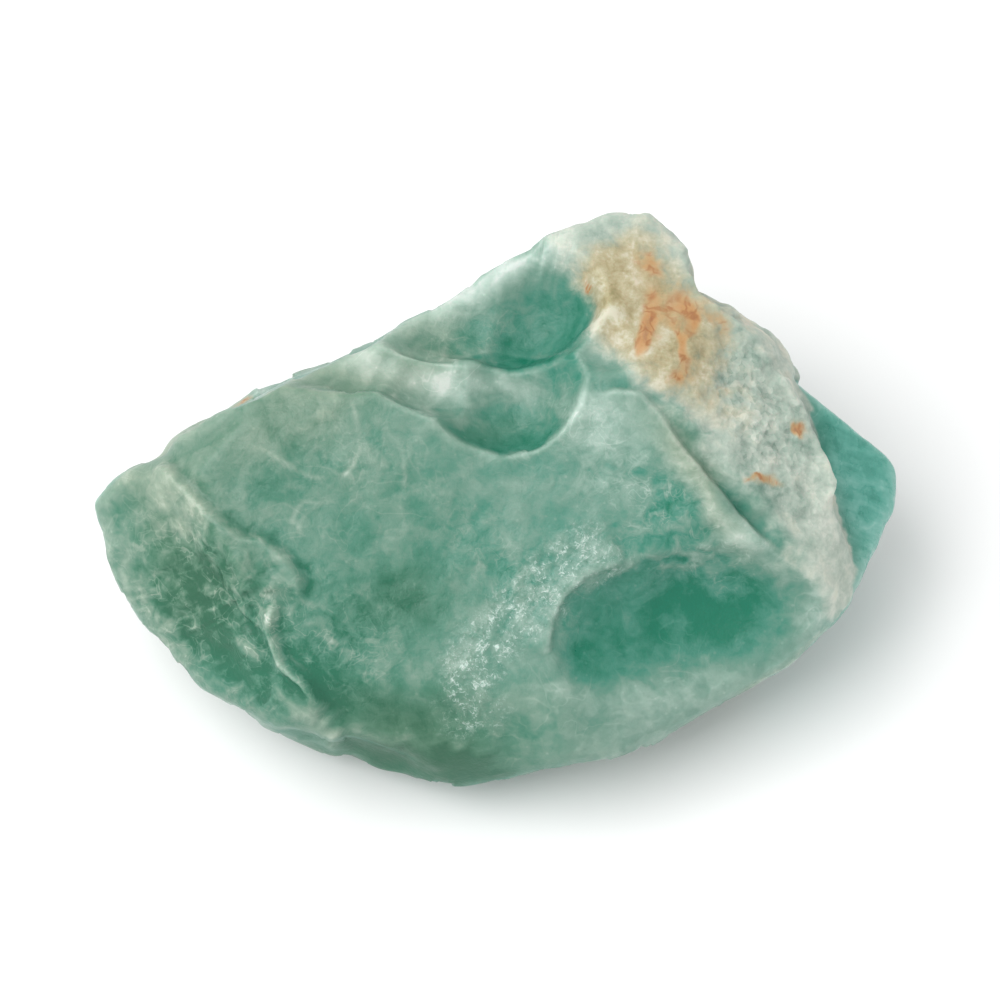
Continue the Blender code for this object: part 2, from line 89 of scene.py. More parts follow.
# Steep breaks that give the outline, clockwise from the upper left
RIM_BREAKS = {
    "upper left": ("mks", (-24, 21.3, 0), (-0.474, 0.881, 0.0), 0.5),
    "lobe corner": ("mks", (-57.3, 2, 0), (-0.72, 0.69, 0.0), 0.4),
    "left": ("mks", (-57.8, -5, 0), (-0.962, -0.273, 0.0), 0.5),
    "left low": ("mks", (-54.6, -13.5, 0), (-0.894, -0.447, 0.0), 0.5),
    "low left": ("mks", (-48, -22.9, 0), (-0.74, -0.67, 0.0), 0.5),
    "lower left": ("mks", (-33, -33, 0), (-0.426, -0.905, 0.0), 0.5),
    "bottom": ("mks", (-10, -43.6, 0), (-0.07, -0.998, 0.0), 0.4),
    "low right": ("mks", (14, -39.6, 0), (0.20, -0.98, 0.05), 0.5),
    "lower right": ("mks", (36, -30.6, 0), (0.48, -0.877, 0.05), 0.5),
    "right low": ("mks", (50, -21.2, 0), (0.70, -0.714, 0.05), 0.5),
    "cap side low": ("mk", (56, -13.6, 0), (0.89, -0.46, 0.0), 0.4),
    "cap side": ("mk", (56, -1.8, 0), (0.974, 0.17, 0.16), 0.7),
    "cap side up": ("mk", (50.6, 12.6, 0), (0.84, 0.52, 0.14), 0.6),
    "cap shoulder": ("mk", (46.2, 20.6, 0), (0.95, 0.30, 0.05), 0.5),
    "cap right": ("m", (39.0, 27.6, 0), (0.57, 0.82, 0.05), 0.5),
    "knob right": ("k", (31, 36.2, 0), (0.96, 0.28, 0.0), 0.5),
    "knob shoulder": ("k", (27.6, 41.8, 0), (0.74, 0.67, 0.0), 0.4),
    "top": ("mks", (21, 44.2, 0), (-0.10, 1.0, 0.0), 0.5),
    "spur low": ("s", (61.2, -4.6, 0), (0.924, -0.381, 0.0), 0.4),
    "spur tip": ("s", (64, 2.7, 0), (1.0, 0.0, 0.0), 0.3),
    "spur up": ("s", (54.8, 12.6, 0), (0.612, 0.791, 0.0), 0.4),
}

# Breaks of the back and the underside, in ground coordinates
HIDDEN_BREAKS = {
    "back wall": ("mks", (2, 41, 40), (0.04, 1.0, 0.10), 1.2),
    "back left": ("mks", (-38, 25, 25), (-0.62, 0.76, -0.20), 1.2),
    "under left": ("mks", (-50, -10, 13), (-0.70, -0.25, -0.67), 1.0),
    "back right": ("mks", (47, 25, 22), (0.66, 0.72, -0.20), 1.2),
    "under back": ("mks", (4, 36, 10), (0.0, 0.72, -0.70), 1.0),
    "under front": ("mks", (5, -39, 8), (0.10, -0.85, -0.50), 0.8),
    "under right": ("mks", (60, 2, 13), (0.78, -0.10, -0.62), 1.0),
    "sole front": ("mks", (4, -18, 0), (0.05, -0.30, -0.95), 0.7),
    "sole back": ("mks", (4, 21, 0), (0.0, 0.36, -0.93), 0.7),
    "sole left": ("mks", (-21, 0, 0), (-0.32, -0.04, -0.95), 0.7),
    "sole right": ("mks", (29, 4, 0), (0.32, -0.05, -0.95), 0.7),
    "sole left low": ("mks", (-15, -14, 0), (-0.22, -0.24, -0.95), 0.7),
    "sole right low": ("mks", (24, -12, 0), (0.22, -0.24, -0.95), 0.7),
}

# Smaller breaks scattered round the back, each a little inside the block and with waves of (size, height).
# They keep off the face and the resting spot, by the least and the most of two slopes.
CHIP_COUNT = 30
CHIP_INSET = (0.4, 2.6)
CHIP_WAVE = (15, 0.5)
CHIP_SEED = 5
CHIP_FLATNESS = (1, 1, 0.6)
CHIP_SLOPES = (-0.22, 0.80)

# Cells along each edge of the random lattice, where it starts, and a distance past every break
LATTICE = 24
LATTICE_START = 100.0
FAR = 1e3


def unit(direction):
    """A direction scaled to length one."""
    direction = np.asarray(direction, float)
    return direction / np.linalg.norm(direction)


def ground_to_face(point):
    """A point or direction in ground coordinates, as face coordinates about the same origin."""
    x, y, z = point
    sine, cosine = np.sin(FACE_LEAN), np.cos(FACE_LEAN)
    return np.array([x, y * sine + z * cosine, z * sine - y * cosine], float)


def face_to_ground(points):
    """Rows of face coordinates as ground coordinates about the same origin."""
    x, y, z = points.T
    sine, cosine = np.sin(FACE_LEAN), np.cos(FACE_LEAN)
    return np.stack([x, y * sine - z * cosine, y * cosine + z * sine], -1)


def ground_place(point):
    """A point given from the resting surface, as face coordinates."""
    x, y, z = point
    return ground_to_face((x, y, z - FACE_CENTRE_HEIGHT))


def smooth(start, stop, value):
    """0 before start, 1 after stop, with an S-shaped rise between them."""
    share = np.clip((value - start) / (stop - start), 0, 1)
    return share * share * (3 - 2 * share)


def waves(points, size, seed):
    """Smooth random heights from -1 to 1, one for each point, about size millimetres from hill to dale."""
    lattice = np.random.default_rng(seed).uniform(-1, 1, (LATTICE,) * 3)
    place = points / size + LATTICE_START
    low = np.floor(place).astype(int)
    share = place - low
    share = share**3 * (share * (share * 6 - 15) + 10)
    low %= LATTICE
    high = (low + 1) % LATTICE
    total = np.zeros(len(points))
    for corner in np.ndindex(2, 2, 2):
        index = [np.where(corner[k], high[:, k], low[:, k]) for k in range(3)]
        weight = [share[:, k] if corner[k] else 1 - share[:, k] for k in range(3)]
        total += lattice[index[0], index[1], index[2]] * weight[0] * weight[1] * weight[2]
    return total


def rough_waves(points, size, seed, octaves):
    """Waves with smaller and lower waves on them, each octave half the size and height of the last."""
    shares = 0.5 ** np.arange(octaves)
    heights = [share * waves(points, size * share, seed + k) for k, share in enumerate(shares)]
    return sum(heights) / shares.sum()


def box_grid(counts):
    """Points on a box from -1 to 1, as a closed grid with the given cells along each edge, and its quads."""
    keys, quads, total = [], [], 0
    for axis in range(3):
        along, across = [k for k in range(3) if k != axis]
        for end in (0, counts[axis]):
            rows, columns = np.meshgrid(np.arange(counts[along] + 1), np.arange(counts[across] + 1),
                                        indexing="ij")
            key = np.zeros(rows.shape + (3,), int)
            key[..., along], key[..., across], key[..., axis] = rows, columns, end
            index = total + np.arange(rows.size).reshape(rows.shape)
            total += rows.size
            keys.append(key.reshape(-1, 3))
            quad = np.stack([index[:-1, :-1], index[1:, :-1], index[1:, 1:], index[:-1, 1:]], -1)
            turned = (end == 0) != (axis == 1)
            quads.append(quad.reshape(-1, 4)[:, ::-1] if turned else quad.reshape(-1, 4))
    corners, back = np.unique(np.concatenate(keys), axis=0, return_inverse=True)
    return corners / np.array(counts) * 2 - 1, back.reshape(-1)[np.concatenate(quads)]


def rays(counts):
    """For each grid point, where its ray leaves a small core, its direction and its place on a rough hull."""
    box, quads = box_grid(counts)
    box = np.tan(box * FACE_SPREAD) / np.tan(FACE_SPREAD)
    radius = (np.abs(box) ** BOX_ROUNDNESS).sum(1) ** (1 / BOX_ROUNDNESS)
    ball = box / radius[:, None]
    start = CORE_CENTRE + (ball * CORE_SHARE) @ BOX_EDGES
    reach = np.ones_like(ball)
    reach[:, 2] = np.where(ball[:, 2] < 0, LOWER_REACH, 1)
    step = (ball * (1 - CORE_SHARE) * reach) @ BOX_EDGES
    return start, step / np.linalg.norm(step, axis=1)[:, None], start + step, quads


def to_plane(start, ray, direction, offset):
    """How far along each ray a plane is; far away for a ray that runs along it or away from it."""
    least_rate = 0.01
    rate = ray @ direction
    return np.where(rate > least_rate, (offset - start @ direction) / np.maximum(rate, least_rate), FAR)


def worn_least(*distances):
    """The least of several distances, with the edges between them rounded by the edge wear."""
    stack = np.stack(distances)
    least = stack.min(0)
    return least - EDGE_WEAR * np.log(np.exp((least - stack) / EDGE_WEAR).sum(0))


def block_depths(start, ray, hull):
    """Distance along each ray to the broken block, and whether the spur is the outermost body there."""
    breaks = [(bodies, unit(way), np.array(place, float), wave)
              for table in (FACE_BREAKS, RIM_BREAKS) for bodies, place, way, wave in table.values()]
    breaks += [(bodies, unit(ground_to_face(way)), ground_place(place), wave)
               for bodies, place, way, wave in HIDDEN_BREAKS.values()]
    underside = ground_to_face((0, 0, -1))
    breaks.append(("mks", underside, ground_place((0, 0, -UNDERSIDE_SPARE)), 0.0))
    planes = []
    for seed, (bodies, way, place, wave) in enumerate(breaks):
        wander = OUTLINE_WANDER[1] * wave * rough_waves(hull, OUTLINE_WANDER[0], 100 + 7 * seed, 2)
        planes.append((bodies, to_plane(start, ray, way, place @ way + wander)))
    bodies = np.stack([worn_least(*[plane for names, plane in planes if body in names]) for body in "mks"])
    return bodies.max(0), bodies.argmax(0) == 2


def chip_directions():
    """Random directions round the sides and the back, away from the face and the resting spot."""
    random = np.random.default_rng(CHIP_SEED)
    down = ground_to_face((0, 0, -1))
    found = []
    while len(found) < CHIP_COUNT:
        way = unit(random.normal(0, 1, 3) * CHIP_FLATNESS)
        if way[2] < CHIP_SLOPES[0] and way @ down < CHIP_SLOPES[1]:
            found.append((way, random.uniform(*CHIP_INSET)))
    return found


# The scooped scars.
# Blows have knocked bowl-shaped flakes out of the block, each leaving a smooth hollow with a crisp lip.

# Each scar: (a point on the old surface, opening direction, long direction, half length, half width, depth).
# The walls wander by (size, amount).
SCAR_WANDER = (11, 0.9)
FACE_SCARS = {
    "dish": ((-10, -6, 15.0), (0.02, -0.02, 1.0), (1, -0.10, 0), 40, 22, 1.8),
    "shelf": ((-17, 20.4, 11.6), (-0.12, 0.58, 0.80), (0.99, -0.10, 0), 16, 4.6, 2.8),
    "lower scoop": ((3.9, 13.7, 12.8), (-0.14, 0.56, 0.82), (0.98, 0.12, 0), 9.4, 8.4, 5.6),
    "lower scoop's left": ((-3.4, 16.6, 12.8), (-0.12, 0.56, 0.82), (0.94, -0.33, 0), 11.5, 5.4, 4.3),
    "upper scoop": ((6.4, 25.9, 8.6), (-0.16, 0.56, 0.81), (1, 0.26, 0), 10.2, 7.8, 6.2),
    "upper scoop's left": ((-1.6, 26.6, 8.5), (-0.12, 0.57, 0.81), (1, -0.08, 0), 14.5, 7.4, 5.2),
    "wedge back": ((18, 22.4, 15.0), (-0.05, 0.60, 0.80), (0.95, -0.30, 0), 8, 4.6, 2.0),
    "hollow apron": ((31, -6.6, 14.6), (0.10, -0.26, 0.96), (1, -0.25, 0), 15, 7, 1.5),
    "green hollow": ((28, -17, 12.8), (0.24, -0.28, 0.93), (1, 0.02, 0), 24, 12.5, 6.2),
}
HIDDEN_SCARS = {
    "back scoop": ((12, 41, 36), (0.15, 0.95, 0.25), (1, 0.1, 0), 24, 15, 4.0),
    "left scoop": ((-46, 16, 30), (-0.62, 0.76, 0.10), (0.7, 0.6, -0.3), 18, 11, 3.0),
    "right scoop": ((58, -8, 18), (0.86, -0.35, -0.30), (0.3, 0.9, 0.2), 14, 9, 2.6),
    "front scoop": ((-20, -35, 14), (-0.3, -0.9, -0.1), (1, -0.3, 0), 20, 9, 2.6),
}


def to_bowl(start, ray, wander, place, opening, along, length, width, depth):
    """How far along each ray the wall of a bowl is: a paraboloid that is deepest under its place, and whose
    wall wanders by a little."""
    long_way = unit(along - (along @ opening) * opening)
    cross_way = np.cross(opening, long_way)
    rel = start - place
    up, u, v = rel @ opening, rel @ long_way, rel @ cross_way
    d_up, d_u, d_v = ray @ opening, ray @ long_way, ray @ cross_way
    square = depth * (d_u**2 / length**2 + d_v**2 / width**2)
    linear = d_up - 2 * depth * (u * d_u / length**2 + v * d_v / width**2)
    level = up + depth + wander - depth * (u**2 / length**2 + v**2 / width**2)
    inside = linear**2 + 4 * square * level
    root = np.sqrt(np.maximum(inside, 0))
    return np.where((inside > 0) & (linear > 0), -2 * level / (linear + root + 1e-9), FAR)


def base_surface(counts):
    """The block with its chips and scars, before the low relief: points, rays, quads, spur flags, and how far
    each scar's bowl lies under the old surface at each point, which is below 0 outside the scar."""
    start, ray, hull, quads = rays(counts)
    depth, spur = block_depths(start, ray, hull)
    block = start + ray * depth[:, None]
    for number, (way, inset) in enumerate(chip_directions()):
        offset = (block @ way).max() - inset + CHIP_WAVE[1] * rough_waves(hull, CHIP_WAVE[0], 400 + number, 2)
        depth = worn_least(depth, to_plane(start, ray, way, offset))
    scars = [(name, np.array(place, float), unit(opening), np.array(along, float), *sizes)
             for name, (place, opening, along, *sizes) in FACE_SCARS.items()]
    scars += [(name, ground_place(place), unit(ground_to_face(opening)), ground_to_face(along), *sizes)
              for name, (place, opening, along, *sizes) in HIDDEN_SCARS.items()]
    cuts = {}
    for number, (name, *scar) in enumerate(scars):
        wander = SCAR_WANDER[1] * rough_waves(hull, SCAR_WANDER[0], 300 + number, 3)
        bowl = to_bowl(start, ray, wander, *scar)
        cuts[name] = depth - bowl
        depth = worn_least(depth, bowl)
    return start + ray * depth[:, None], ray, quads, spur, cuts


# The ledges, the blades and the rind.
# Cleavage leaves thin steps where sheets of the stone have come away, sharpest as blades across the left
# lobe. A pale weathered rind, pitted like sugar, is left on the cap.

# All waves in this section are given as (size, height, seed, octaves), and a wander as (size, amount, seed).
# Ledges across the face: (line that the ledge's edge follows, height, reach). The raised side is on the right
# of the line.
LEDGES = {
    "lobe lip": (((-50.3, 7.2), (-46.5, 4.9), (-42.5, 1.4), (-38.9, -2.2), (-35.2, -4.9), (-32.5, -5),
                  (-28.9, -7.7), (-27.2, -10.4), (-27, -13.2), (-27.7, -16)), 1.9, 8.0),
    "first blade": (((-31.2, -14), (-31, -19), (-29.6, -23), (-26, -26.1), (-23.8, -29.7), (-22.8, -33.5),
                     (-21.8, -38)), 3.0, 1.5),
    "second blade": (((-37.5, -16), (-35.1, -20), (-32.8, -24.8), (-29.7, -27), (-25.6, -30.2),
                      (-21.9, -34.6), (-20.4, -38)), 3.0, 1.6),
    "low blade": (((-51, -14.5), (-44.5, -22.5), (-38, -27), (-31, -31.6), (-26, -36)), 0.8, 3.0),
    "foot lip": (((3.5, -37.5), (-5.5, -36.5), (-12.5, -35.5), (-22.5, -34)), 1.2, 3.5),
    "hollow lip": (((22, -8.2), (16.2, -10.6), (12.6, -13.5), (10.4, -17.1), (9.5, -23)), 1.3, 4.0),
    "wedge edge": (((15, 16), (19.3, 16.8), (23.3, 16.3), (26.1, 13.5), (29, 9.5), (33.3, 4.5), (36.9, 0.5),
                    (41, -4), (45.7, -8.6), (49, -12)), 1.1, 5.0),
}
LEDGE_EDGE = 0.55
LEDGE_ENDS = 0.12
LINE_WANDER = (7, 0.5, 61)

# The rough lobe lies to the right of this line and fades in beside it, and down from its smooth top. Low
# steps cross it, in the direction that they rise.
LOBE_EDGE = ((-58, 10), (-47.7, 4.9), (-40.1, -2.2), (-33.7, -5.5), (-29.5, -9), (-29.5, -15), (-31, -21),
             (-28, -25.5), (-24.5, -31), (-22, -40))
LOBE_FADE = (-0.5, -2.5)
LOBE_TOP = (3, -5)
LOBE_STEP_WAY = (0.90, 0.40)
LOBE_STEP_SPACING = 4.6
LOBE_STEP_HEIGHT = 0.5
LOBE_STEP_RISER = 0.35
LOBE_STEP_WANDER = (11, 1.6, 71, 2)
LOBE_LUMPS = (4.5, 1.0, 75, 3)
STEP_LIFT = 0.35

# Grooves across the face: (line, depth, half width). The depth varies round a share of itself.
GROOVES = {
    "cap groove": (((22, 18.5), (26, 13.4), (29.8, 8.8), (34, 4), (38.5, -1), (43, -6), (48, -10.5)),
                   1.0, 1.9),
    "cap crease": (((31.5, 7.4), (36, 2.4), (38.5, -0.6), (42.5, -4), (47.5, -9)), 0.7, 0.9),
}
GROOVE_ENDS = 0.15
GROOVE_DEPTH_SHARE = 0.7
GROOVE_DEPTH_WAVES = (5, 0.6, 64, 1)

# Bites out of the outline: (place, depth, width)
BITES = {
    "lobe notch": ((-50.8, 7.2), 1.9, 3.0),
    "shelf dip": ((-17.5, 22.8), 2.2, 6.5),
    "scoop dip": ((-7, 29.3), 2.3, 5.5),
    "cap dip": ((40, 28), 1.1, 4.0),
    "knob notch": ((31.5, 32.4), 1.0, 3.0),
}

# The weathered rind lies to the left of this line, down to a height, and is rougher low down
RIND_EDGE = ((9, 41), (14.5, 32.5), (17.5, 26), (22, 19), (27, 14.5), (36, 4), (45, -7), (53, -17))
RIND_OUTSET = 0.75
RIND_END = (-16, -9)
RIND_ROUGHER = (28, 16)
RIND_LEAST_ROUGH = 0.55
RIND_LUMPS = (6.5, 1.5, 11, 3)
RIND_PITS = (3.4, 0.5, 17, 2)

# Ledges that cleavage leaves in patches on the sides, parallel to the broad face, and the lumps between them
CLEAVAGE_SPACING = 8.0
CLEAVAGE_HEIGHT = 1.6
CLEAVAGE_RISER = 0.4
CLEAVAGE_WANDER = ((30, 1.0, 31, 2), (7, 0.3, 35, 1))
CLEAVAGE_PATCHES = (14, 1.0, 36, 1)
CLEAVAGE_SHOWN = (-0.10, 0.45)
SIDE_LUMPS = (9.0, 0.7, 41, 3)
FACE_WAVES = (13.0, 0.4, 51, 2)


def outward(points, quads):
    """Unit normals of the grid's points."""
    corners = points[quads]
    faces = np.cross(corners[:, 2] - corners[:, 0], corners[:, 3] - corners[:, 1])
    normals = np.zeros_like(points)
    for corner in range(4):
        np.add.at(normals, quads[:, corner], faces)
    return normals / np.linalg.norm(normals, axis=1)[:, None]


def spread(values, quads, rounds):
    """Values of the grid's points, each averaged with its neighbours a few times."""
    shared = np.bincount(quads.ravel(), minlength=len(values))
    for _ in range(rounds):
        middle = np.repeat(values[quads].mean(1), 4)
        values = np.bincount(quads.ravel(), weights=middle, minlength=len(values)) / shared
    return values


def eased(points, quads, rounds):
    """The grid's points, each moved to the middle of its neighbours a few times."""
    return np.stack([spread(points[:, k], quads, rounds) for k in range(3)], -1)


def swell(points, size, height, seed, octaves):
    """Rough waves of the given height."""
    return height * rough_waves(points, size, seed, octaves)


def wandering(points, *kinds):
    """The points' x and y, each moved by waves of its own, of one or more kinds."""
    return [points[:, k] + sum(amount * waves(points, size, seed + k) for size, amount, seed in kinds)
            for k in range(2)]


def bell(distance, width):
    """A bell curve: 1 at no distance, and falling off over the given width."""
    return np.exp(-((distance / width) ** 2))


def fading(share, first, last):
    """1 along a line, falling to 0 at its ends over the given first and last shares of its length."""
    return smooth(0, first, share) * smooth(1, 1 - last, share)


def beside_line(place, line):
    """Distance from a line on the face, positive on its left, and the share of its length passed."""
    x, y = place[0], place[1]
    line = np.array(line, float)
    steps = np.diff(line, axis=0)
    lengths = np.linalg.norm(steps, axis=1)
    nearest = np.full(x.shape, np.inf)
    side = np.ones_like(x)
    share = np.zeros_like(x)
    for k, (step, length) in enumerate(zip(steps / lengths[:, None], lengths)):
        dx, dy = x - line[k, 0], y - line[k, 1]
        passed = np.clip(dx * step[0] + dy * step[1], 0, length)
        apart = np.hypot(dx - passed * step[0], dy - passed * step[1])
        closer = apart < nearest
        nearest = np.where(closer, apart, nearest)
        side = np.where(closer, np.where(step[0] * dy - step[1] * dx >= 0, 1.0, -1.0), side)
        share = np.where(closer, (lengths[:k].sum() + passed) / lengths.sum(), share)
    return nearest * side, share


def line_relief(points, on_face):
    """Ledges and grooves: each follows its line and dies out at both ends. Grooves vary in depth."""
    place = wandering(points, LINE_WANDER)
    height = np.zeros(len(points))
    for line, rise, reach in LEDGES.values():
        beside, share = beside_line(place, line)
        slope = np.where(beside > 0, 1, np.exp(beside / reach))
        ends = fading(share, LEDGE_ENDS, LEDGE_ENDS)
        height += rise * ends * slope * smooth(LEDGE_EDGE, -LEDGE_EDGE, beside)
    broken = GROOVE_DEPTH_SHARE + swell(points, *GROOVE_DEPTH_WAVES)
    for line, drop, half_width in GROOVES.values():
        beside, share = beside_line(place, line)
        ends = fading(share, GROOVE_ENDS, GROOVE_ENDS)
        height -= drop * broken * ends * bell(beside, half_width)
    return height * on_face


def stairs(level, riser):
    """Steps one high for each whole number, less the slope that they climb, and lifted. Each riser takes up
    its share of a step."""
    fraction = level - np.floor(level)
    return smooth(0, riser, fraction) - fraction + STEP_LIFT


def lobe_relief(points, on_face):
    """Low steps and lumps on the lobe, which lies to the right of its edge line; its top is smooth."""
    beside, _ = beside_line(points.T, LOBE_EDGE)
    level = points[:, :2] @ np.array(LOBE_STEP_WAY) / LOBE_STEP_SPACING + swell(points, *LOBE_STEP_WANDER)
    height = LOBE_STEP_HEIGHT * stairs(level, LOBE_STEP_RISER) + swell(points, *LOBE_LUMPS)
    return height * on_face * smooth(*LOBE_FADE, beside) * smooth(*LOBE_TOP, points[:, 1])


def rind_share(points, spur, soft, wander):
    """1 on the weathered rind, which covers the cap but not the spur. Its edge wanders and is soft."""
    beside, _ = beside_line(points.T, RIND_EDGE)
    edge = beside + RIND_OUTSET + swell(points, *wander)
    return smooth(-soft, soft, edge) * smooth(*RIND_END, points[:, 2]) * (1 - spur)


def rind_relief(points, rind):
    """Lumps and pits of the weathered rind, which is rougher low down."""
    rough = RIND_LEAST_ROUGH + (1 - RIND_LEAST_ROUGH) * smooth(*RIND_ROUGHER, points[:, 1])
    return rind * rough * (swell(points, *RIND_LUMPS) + np.abs(swell(points, *RIND_PITS)))


def side_relief(points, steep):
    """Ledges parallel to the broad face, lumps, and the bites out of the outline, on steep sides."""
    ground = face_to_ground(points)
    level = points[:, 2] / CLEAVAGE_SPACING + sum(swell(ground, *kind) for kind in CLEAVAGE_WANDER)
    shown = smooth(*CLEAVAGE_SHOWN, swell(ground, *CLEAVAGE_PATCHES))
    height = CLEAVAGE_HEIGHT * stairs(level, CLEAVAGE_RISER) * shown + swell(ground, *SIDE_LUMPS)
    for (x, y), depth, width in BITES.values():
        height -= depth * bell(np.hypot(points[:, 0] - x, points[:, 1] - y), width)
    return height * steep


# The fine grain of the break.
# Up close the stone is rough: crushed facets where it was struck, sugar-like grains low on the rind, thin
# wisps on the lobe, and shallow ripples everywhere else.

# Facets are given as (size, height, seed) and waves as (size, height, seed, octaves)
RIPPLES = (2.6, 0.10, 91, 2)
WAXY_LUMPS = (2.4, 0.16, 98, 3)
CRUSHED_FACETS = (1.5, 0.13, 92)
SUGAR_GRAINS = (1.6, 0.26, 93)
LOBE_FACETS = (3.6, 0.10, 94)
SIDE_FACETS = (6.5, 0.45, 96)
FACET_TILT = 0.7

# Waves that bend the facets of the lobe and of the sides
LOBE_BEND = (4, 1.0, 95, 1)
SIDE_BEND = (9, 1.5, 97, 1)

# Wisps, where their patches begin and are whole, and how much of them there is off the lobe
WISP_SIZE = 4.2
WISP_HEIGHT = 0.30
WISP_SEED = 140
WISP_WIDTH = 0.14
WISP_PATCHES = (-0.25, 0.25)
WISPS_ELSEWHERE = 0.08

# Where the rind is sugary and not waxy, as a soft oval: (x, y, half length, half width, turn in degrees,
# amount)
SUGAR_PATCHES = {
    "shoulder": (41, 14, 12, 6.5, -62, 1.0),
    "cap foot": (50, -3, 8, 4, -60, 0.35),
}

# The crushed, frosty band: its middle line on the broad face, its half width, and how its ragged edge and its
# ends fade
FROST_BAND = ((20, -4), (14, -9), (8, -14), (0, -21), (-3, -27), (-1, -36))
FROST_HALF_WIDTH = 6.5
FROST_FADE = 4.5
FROST_RAGS = (5, 2.5, 81, 3)
FROST_ENDS = (0.12, 0.10)


def facets(points, size, height, seed):
    """Small tilted facets: each point takes the slope about its nearest scattered seed."""
    random = np.random.default_rng(seed)
    scatter = random.uniform(0, 1, (LATTICE,) * 3 + (3,))
    tilt = random.normal(0, FACET_TILT, (LATTICE,) * 3 + (3,))
    place = points / size + LATTICE_START
    low = np.floor(place).astype(int)
    nearest = np.full(len(points), np.inf)
    slope = np.zeros(len(points))
    for step in np.ndindex(3, 3, 3):
        cell = low + np.array(step) - 1
        key = tuple((cell % LATTICE).T)
        gap = place - cell - scatter[key]
        distance = (gap**2).sum(1)
        closer = distance < nearest
        nearest = np.where(closer, distance, nearest)
        slope = np.where(closer, (gap * tilt[key]).sum(1), slope)
    return height * slope


def patches(place, table):
    """Sum of soft oval patches: each is its amount times a bell curve of the distance in its half sizes."""
    total = np.zeros(len(place[0]))
    for x, y, long, wide, turn, amount in table.values():
        turn = np.radians(turn)
        dx, dy = place[0] - x, place[1] - y
        along = (dx * np.cos(turn) + dy * np.sin(turn)) / long
        across = (dy * np.cos(turn) - dx * np.sin(turn)) / wide
        total += amount * bell(np.hypot(along, across), 1)
    return total


def frost_share(points, on_face):
    """1 in the crushed band that runs down the broad face, fading out at a ragged edge."""
    beside, along = beside_line(points.T, FROST_BAND)
    ragged = np.abs(beside) + swell(points, *FROST_RAGS)
    band = smooth(FROST_HALF_WIDTH, FROST_HALF_WIDTH - FROST_FADE, ragged)
    return band * fading(along, *FROST_ENDS) * on_face


def lobe_share(points, on_face):
    """1 on the rough lobe, to the right of its edge line, but 0 on its smooth top."""
    beside, _ = beside_line(points.T, LOBE_EDGE)
    return on_face * smooth(0, -1.5, beside) * smooth(*LOBE_TOP, points[:, 1])


def wisps(points):
    """Thin curved wisps in patches: 1 along the lines where bent waves pass 0, and 0 a little beside them."""
    bend = np.stack([waves(points, WISP_SIZE, WISP_SEED + k) for k in range(3)], -1)
    bent = rough_waves(points + WISP_SIZE / 2 * bend, WISP_SIZE, WISP_SEED + 5, 2)
    line = np.maximum(1 - np.abs(bent) / WISP_WIDTH, 0)
    return line * smooth(*WISP_PATCHES, waves(points, 1.7 * WISP_SIZE, WISP_SEED + 9))


def fine_relief(points, rind, frost, lobe, steep):
    """Grain of the break: each kind of grain is laid where its share is, and ripples lie all over."""
    height = swell(points, *RIPPLES)
    height += frost * facets(points, *CRUSHED_FACETS)
    height += rind * patches(points.T, SUGAR_PATCHES) * facets(points, *SUGAR_GRAINS)
    height += rind * swell(points, *WAXY_LUMPS)
    height += lobe * facets(points + swell(points, *LOBE_BEND)[:, None], *LOBE_FACETS)
    wispy = (WISPS_ELSEWHERE + (1 - WISPS_ELSEWHERE) * lobe) * (1 - rind)
    height += wispy * WISP_HEIGHT * wisps(points)
    return height + steep * facets(points + swell(points, *SIDE_BEND)[:, None], *SIDE_FACETS)


# Where the stone is green, milky, weathered and stained.
# Pure amazonite is deep blue-green; white albite grown through it, bruising and weathering make it milky, and
# iron has stained the rind. Some milk is painted light and shade instead: paler edges, lips and the lobe's
# top where light catches, and greener recesses, scar floors and downward flanks where shade falls. Shares are
# worked out for each point and carried to the material as attributes.

# How milky the stone is where nothing changes it, and on the spur and the hidden sides with their clouds, and
# how much milk the crushed band and the wisps add
FACE_MILK = 0.37
SPUR_MILK = 0.43
SPUR_CLOUDS = (9, 0.14, 125, 2)
SIDE_MILK = 0.50
SIDE_CLOUDS = (20, 0.26, 124, 3)
FROST_MILK = 0.06
WISP_MILK = 0.18

# How much greener the floor of each scar is, partly its fresh colour and partly painted shade, and how much
# paler
# its lip, a painted highlight: (amount, depth in millimetres where it is reached, amount at the lip, how far
# out from the lip it fades)
SCAR_SHADE_AND_LIP_LIGHT = {
    "shelf": (0.00, 2.0, 0.06, 1.5),
    "lower scoop": (0.19, 2.4, 0.09, 6.0),
    "lower scoop's left": (-0.10, 2.0, 0.08, 4.0),
    "upper scoop": (0.15, 2.4, 0.03, 2.0),
    "upper scoop's left": (0.04, 2.0, 0.03, 2.0),
    "wedge back": (-0.10, 1.0, 0.00, 1.5),
    "green hollow": (0.20, 2.6, 0.00, 2.0),
}
LIP_INSIDE = 0.6
FLOOR_START = 0.1

# How pale the raised edge of each ledge is, a painted highlight, and how green the recess beside it, a
# painted shadow
LEDGE_LIGHT_AND_SHADE = {
    "lobe lip": (0.10, 0.12),
    "first blade": (0.42, 0.26),
    "second blade": (0.46, 0.26),
    "low blade": (0.08, 0.06),
    "foot lip": (0.14, 0.12),
    "hollow lip": (0.16, 0.00),
    "wedge edge": (0.18, 0.10),
}
# Distance of the painted pale edge from its line, its half width, and how the painted shadow in the recess
# beside it comes and goes
PALE_EDGE = (0.45, 0.45)
RECESS_START = (0.1, 0.6)
RECESS_END = (2.6, 0.6)
# How strong the tint is: its usual strength, and the waves along it
TINT_STRENGTH = 0.85
TINT_WAVES = (4, 0.3, 114, 1)

# How the soft patches below wander: (size, amount, seed)
PATCH_WANDER = (6, 1.6, 121)

